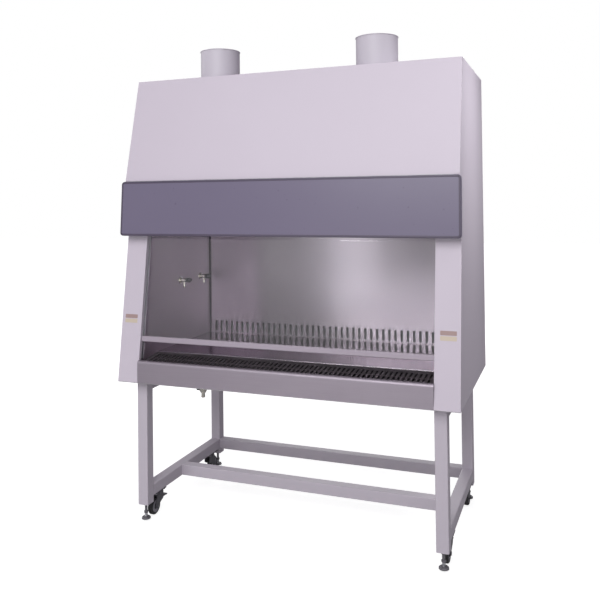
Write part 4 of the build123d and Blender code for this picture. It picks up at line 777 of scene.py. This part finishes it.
# ---- Exhaust collar rims and rivets ----
# The top edge of each collar is rolled outwards into a bead, and its flange is held to the roof
# by eight blind rivets with domed heads.
COLLAR_RADIUS = 0.090
COLLAR_FLANGE = (0.106, 0.003)  # radius and thickness
RIM_RADIUS = 0.0022
RIVET_RADIUS = 0.0035
RIVET_FLATNESS = 0.5
RIVET_CIRCLE = 0.0985
RIVET_COUNT = 8
collar_low, collar_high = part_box("exhaust_collars")
collar_middle = (collar_low[1] + collar_high[1]) / 2
collar_x = collar_high[0] - COLLAR_FLANGE[0]
rivet_metal = steel("rivet_metal", (0.62, 0.60, 0.64), (0.50, 0.48, 0.53), 0.34, 0.3, ALONG_Z)
rim = begin(
    "torus",
    "collar_rim_right",
    major_segments=96,
    minor_segments=12,
    major_radius=COLLAR_RADIUS,
    minor_radius=RIM_RADIUS,
)
bpy.ops.object.mode_set(mode="EDIT")
bpy.ops.mesh.select_all(action="SELECT")
bpy.ops.mesh.bisect(
    plane_co=(0, 0, -RIM_RADIUS / 2), plane_no=(0, 0, 1), use_fill=False, clear_inner=True
)
rim_place = Matrix.Translation((collar_x, collar_middle, collar_high[2] - RIM_RADIUS))
complete(rim, rim_place, collar_paint, "cabinet")
repeat(rim, "collar_rim_left", MIRROR, "cabinet")
rivet = begin("uv_sphere", "rivet", segments=20, ring_count=12, radius=RIVET_RADIUS)
bpy.ops.object.mode_set(mode="EDIT")
bpy.ops.mesh.select_all(action="SELECT")
bpy.ops.mesh.bisect(plane_co=(0, 0, 0), plane_no=(0, 0, 1), use_fill=True, clear_inner=True)
bpy.ops.mesh.select_all(action="SELECT")
bpy.ops.transform.resize(value=(1, 1, RIVET_FLATNESS), center_override=(0, 0, 0))
bpy.ops.mesh.normals_make_consistent(inside=False)
bpy.ops.object.mode_set(mode="OBJECT")
bpy.ops.object.shade_smooth_by_angle(angle=radians(SMOOTH_ANGLE))
rivet.data.materials.append(rivet_metal)
for side, x in (("left", -collar_x), ("right", collar_x)):
    for count in range(RIVET_COUNT):
        matrix = (
            Matrix.Translation((x, collar_middle, collar_low[2] + COLLAR_FLANGE[1]))
            @ Matrix.Rotation(radians(360 * (count + 0.5) / RIVET_COUNT), 4, "Z")
            @ Matrix.Translation((RIVET_CIRCLE, 0, 0))
        )
        repeat(rivet, f"collar_rivet_{side}_{count + 1}", matrix, "cabinet")
bpy.data.objects.remove(rivet)

# ---- Threads of the levelling feet ----
# Each foot is a steel stud that screws into the plug of its leg. Between the pad and the lock
# nut it shows its rolled thread.
THREAD_RADIUS = 0.0061
THREAD_RIDGE = 0.0006
THREAD_PITCH = 0.0015
THREAD_TURNS = 12
THREAD_SMOOTH = 60
PAD_TOP = 0.015
thread = begin(
    "torus",
    "stud_thread",
    major_segments=32,
    minor_segments=6,
    major_radius=THREAD_RADIUS,
    minor_radius=THREAD_RIDGE,
)
rows = thread.modifiers.new("turns", "ARRAY")
rows.count = THREAD_TURNS
rows.use_relative_offset = False
rows.use_constant_offset = True
rows.constant_offset_displace = (0, 0, THREAD_PITCH)
bpy.ops.object.modifier_apply(modifier=rows.name)
bpy.ops.object.shade_smooth_by_angle(angle=radians(THREAD_SMOOTH))
thread.data.materials.append(bolt_zinc)
for end, side in CORNERS:
    body = f"levelling_foot_{end}_{side}"
    foot_low, foot_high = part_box(body)
    middle = [(foot_low[axis] + foot_high[axis]) / 2 for axis in range(2)]
    matrix = Matrix.Translation((*middle, PAD_TOP + THREAD_PITCH / 2))
    repeat(thread, f"stud_thread_{end}_{side}", matrix, body)
bpy.data.objects.remove(thread)
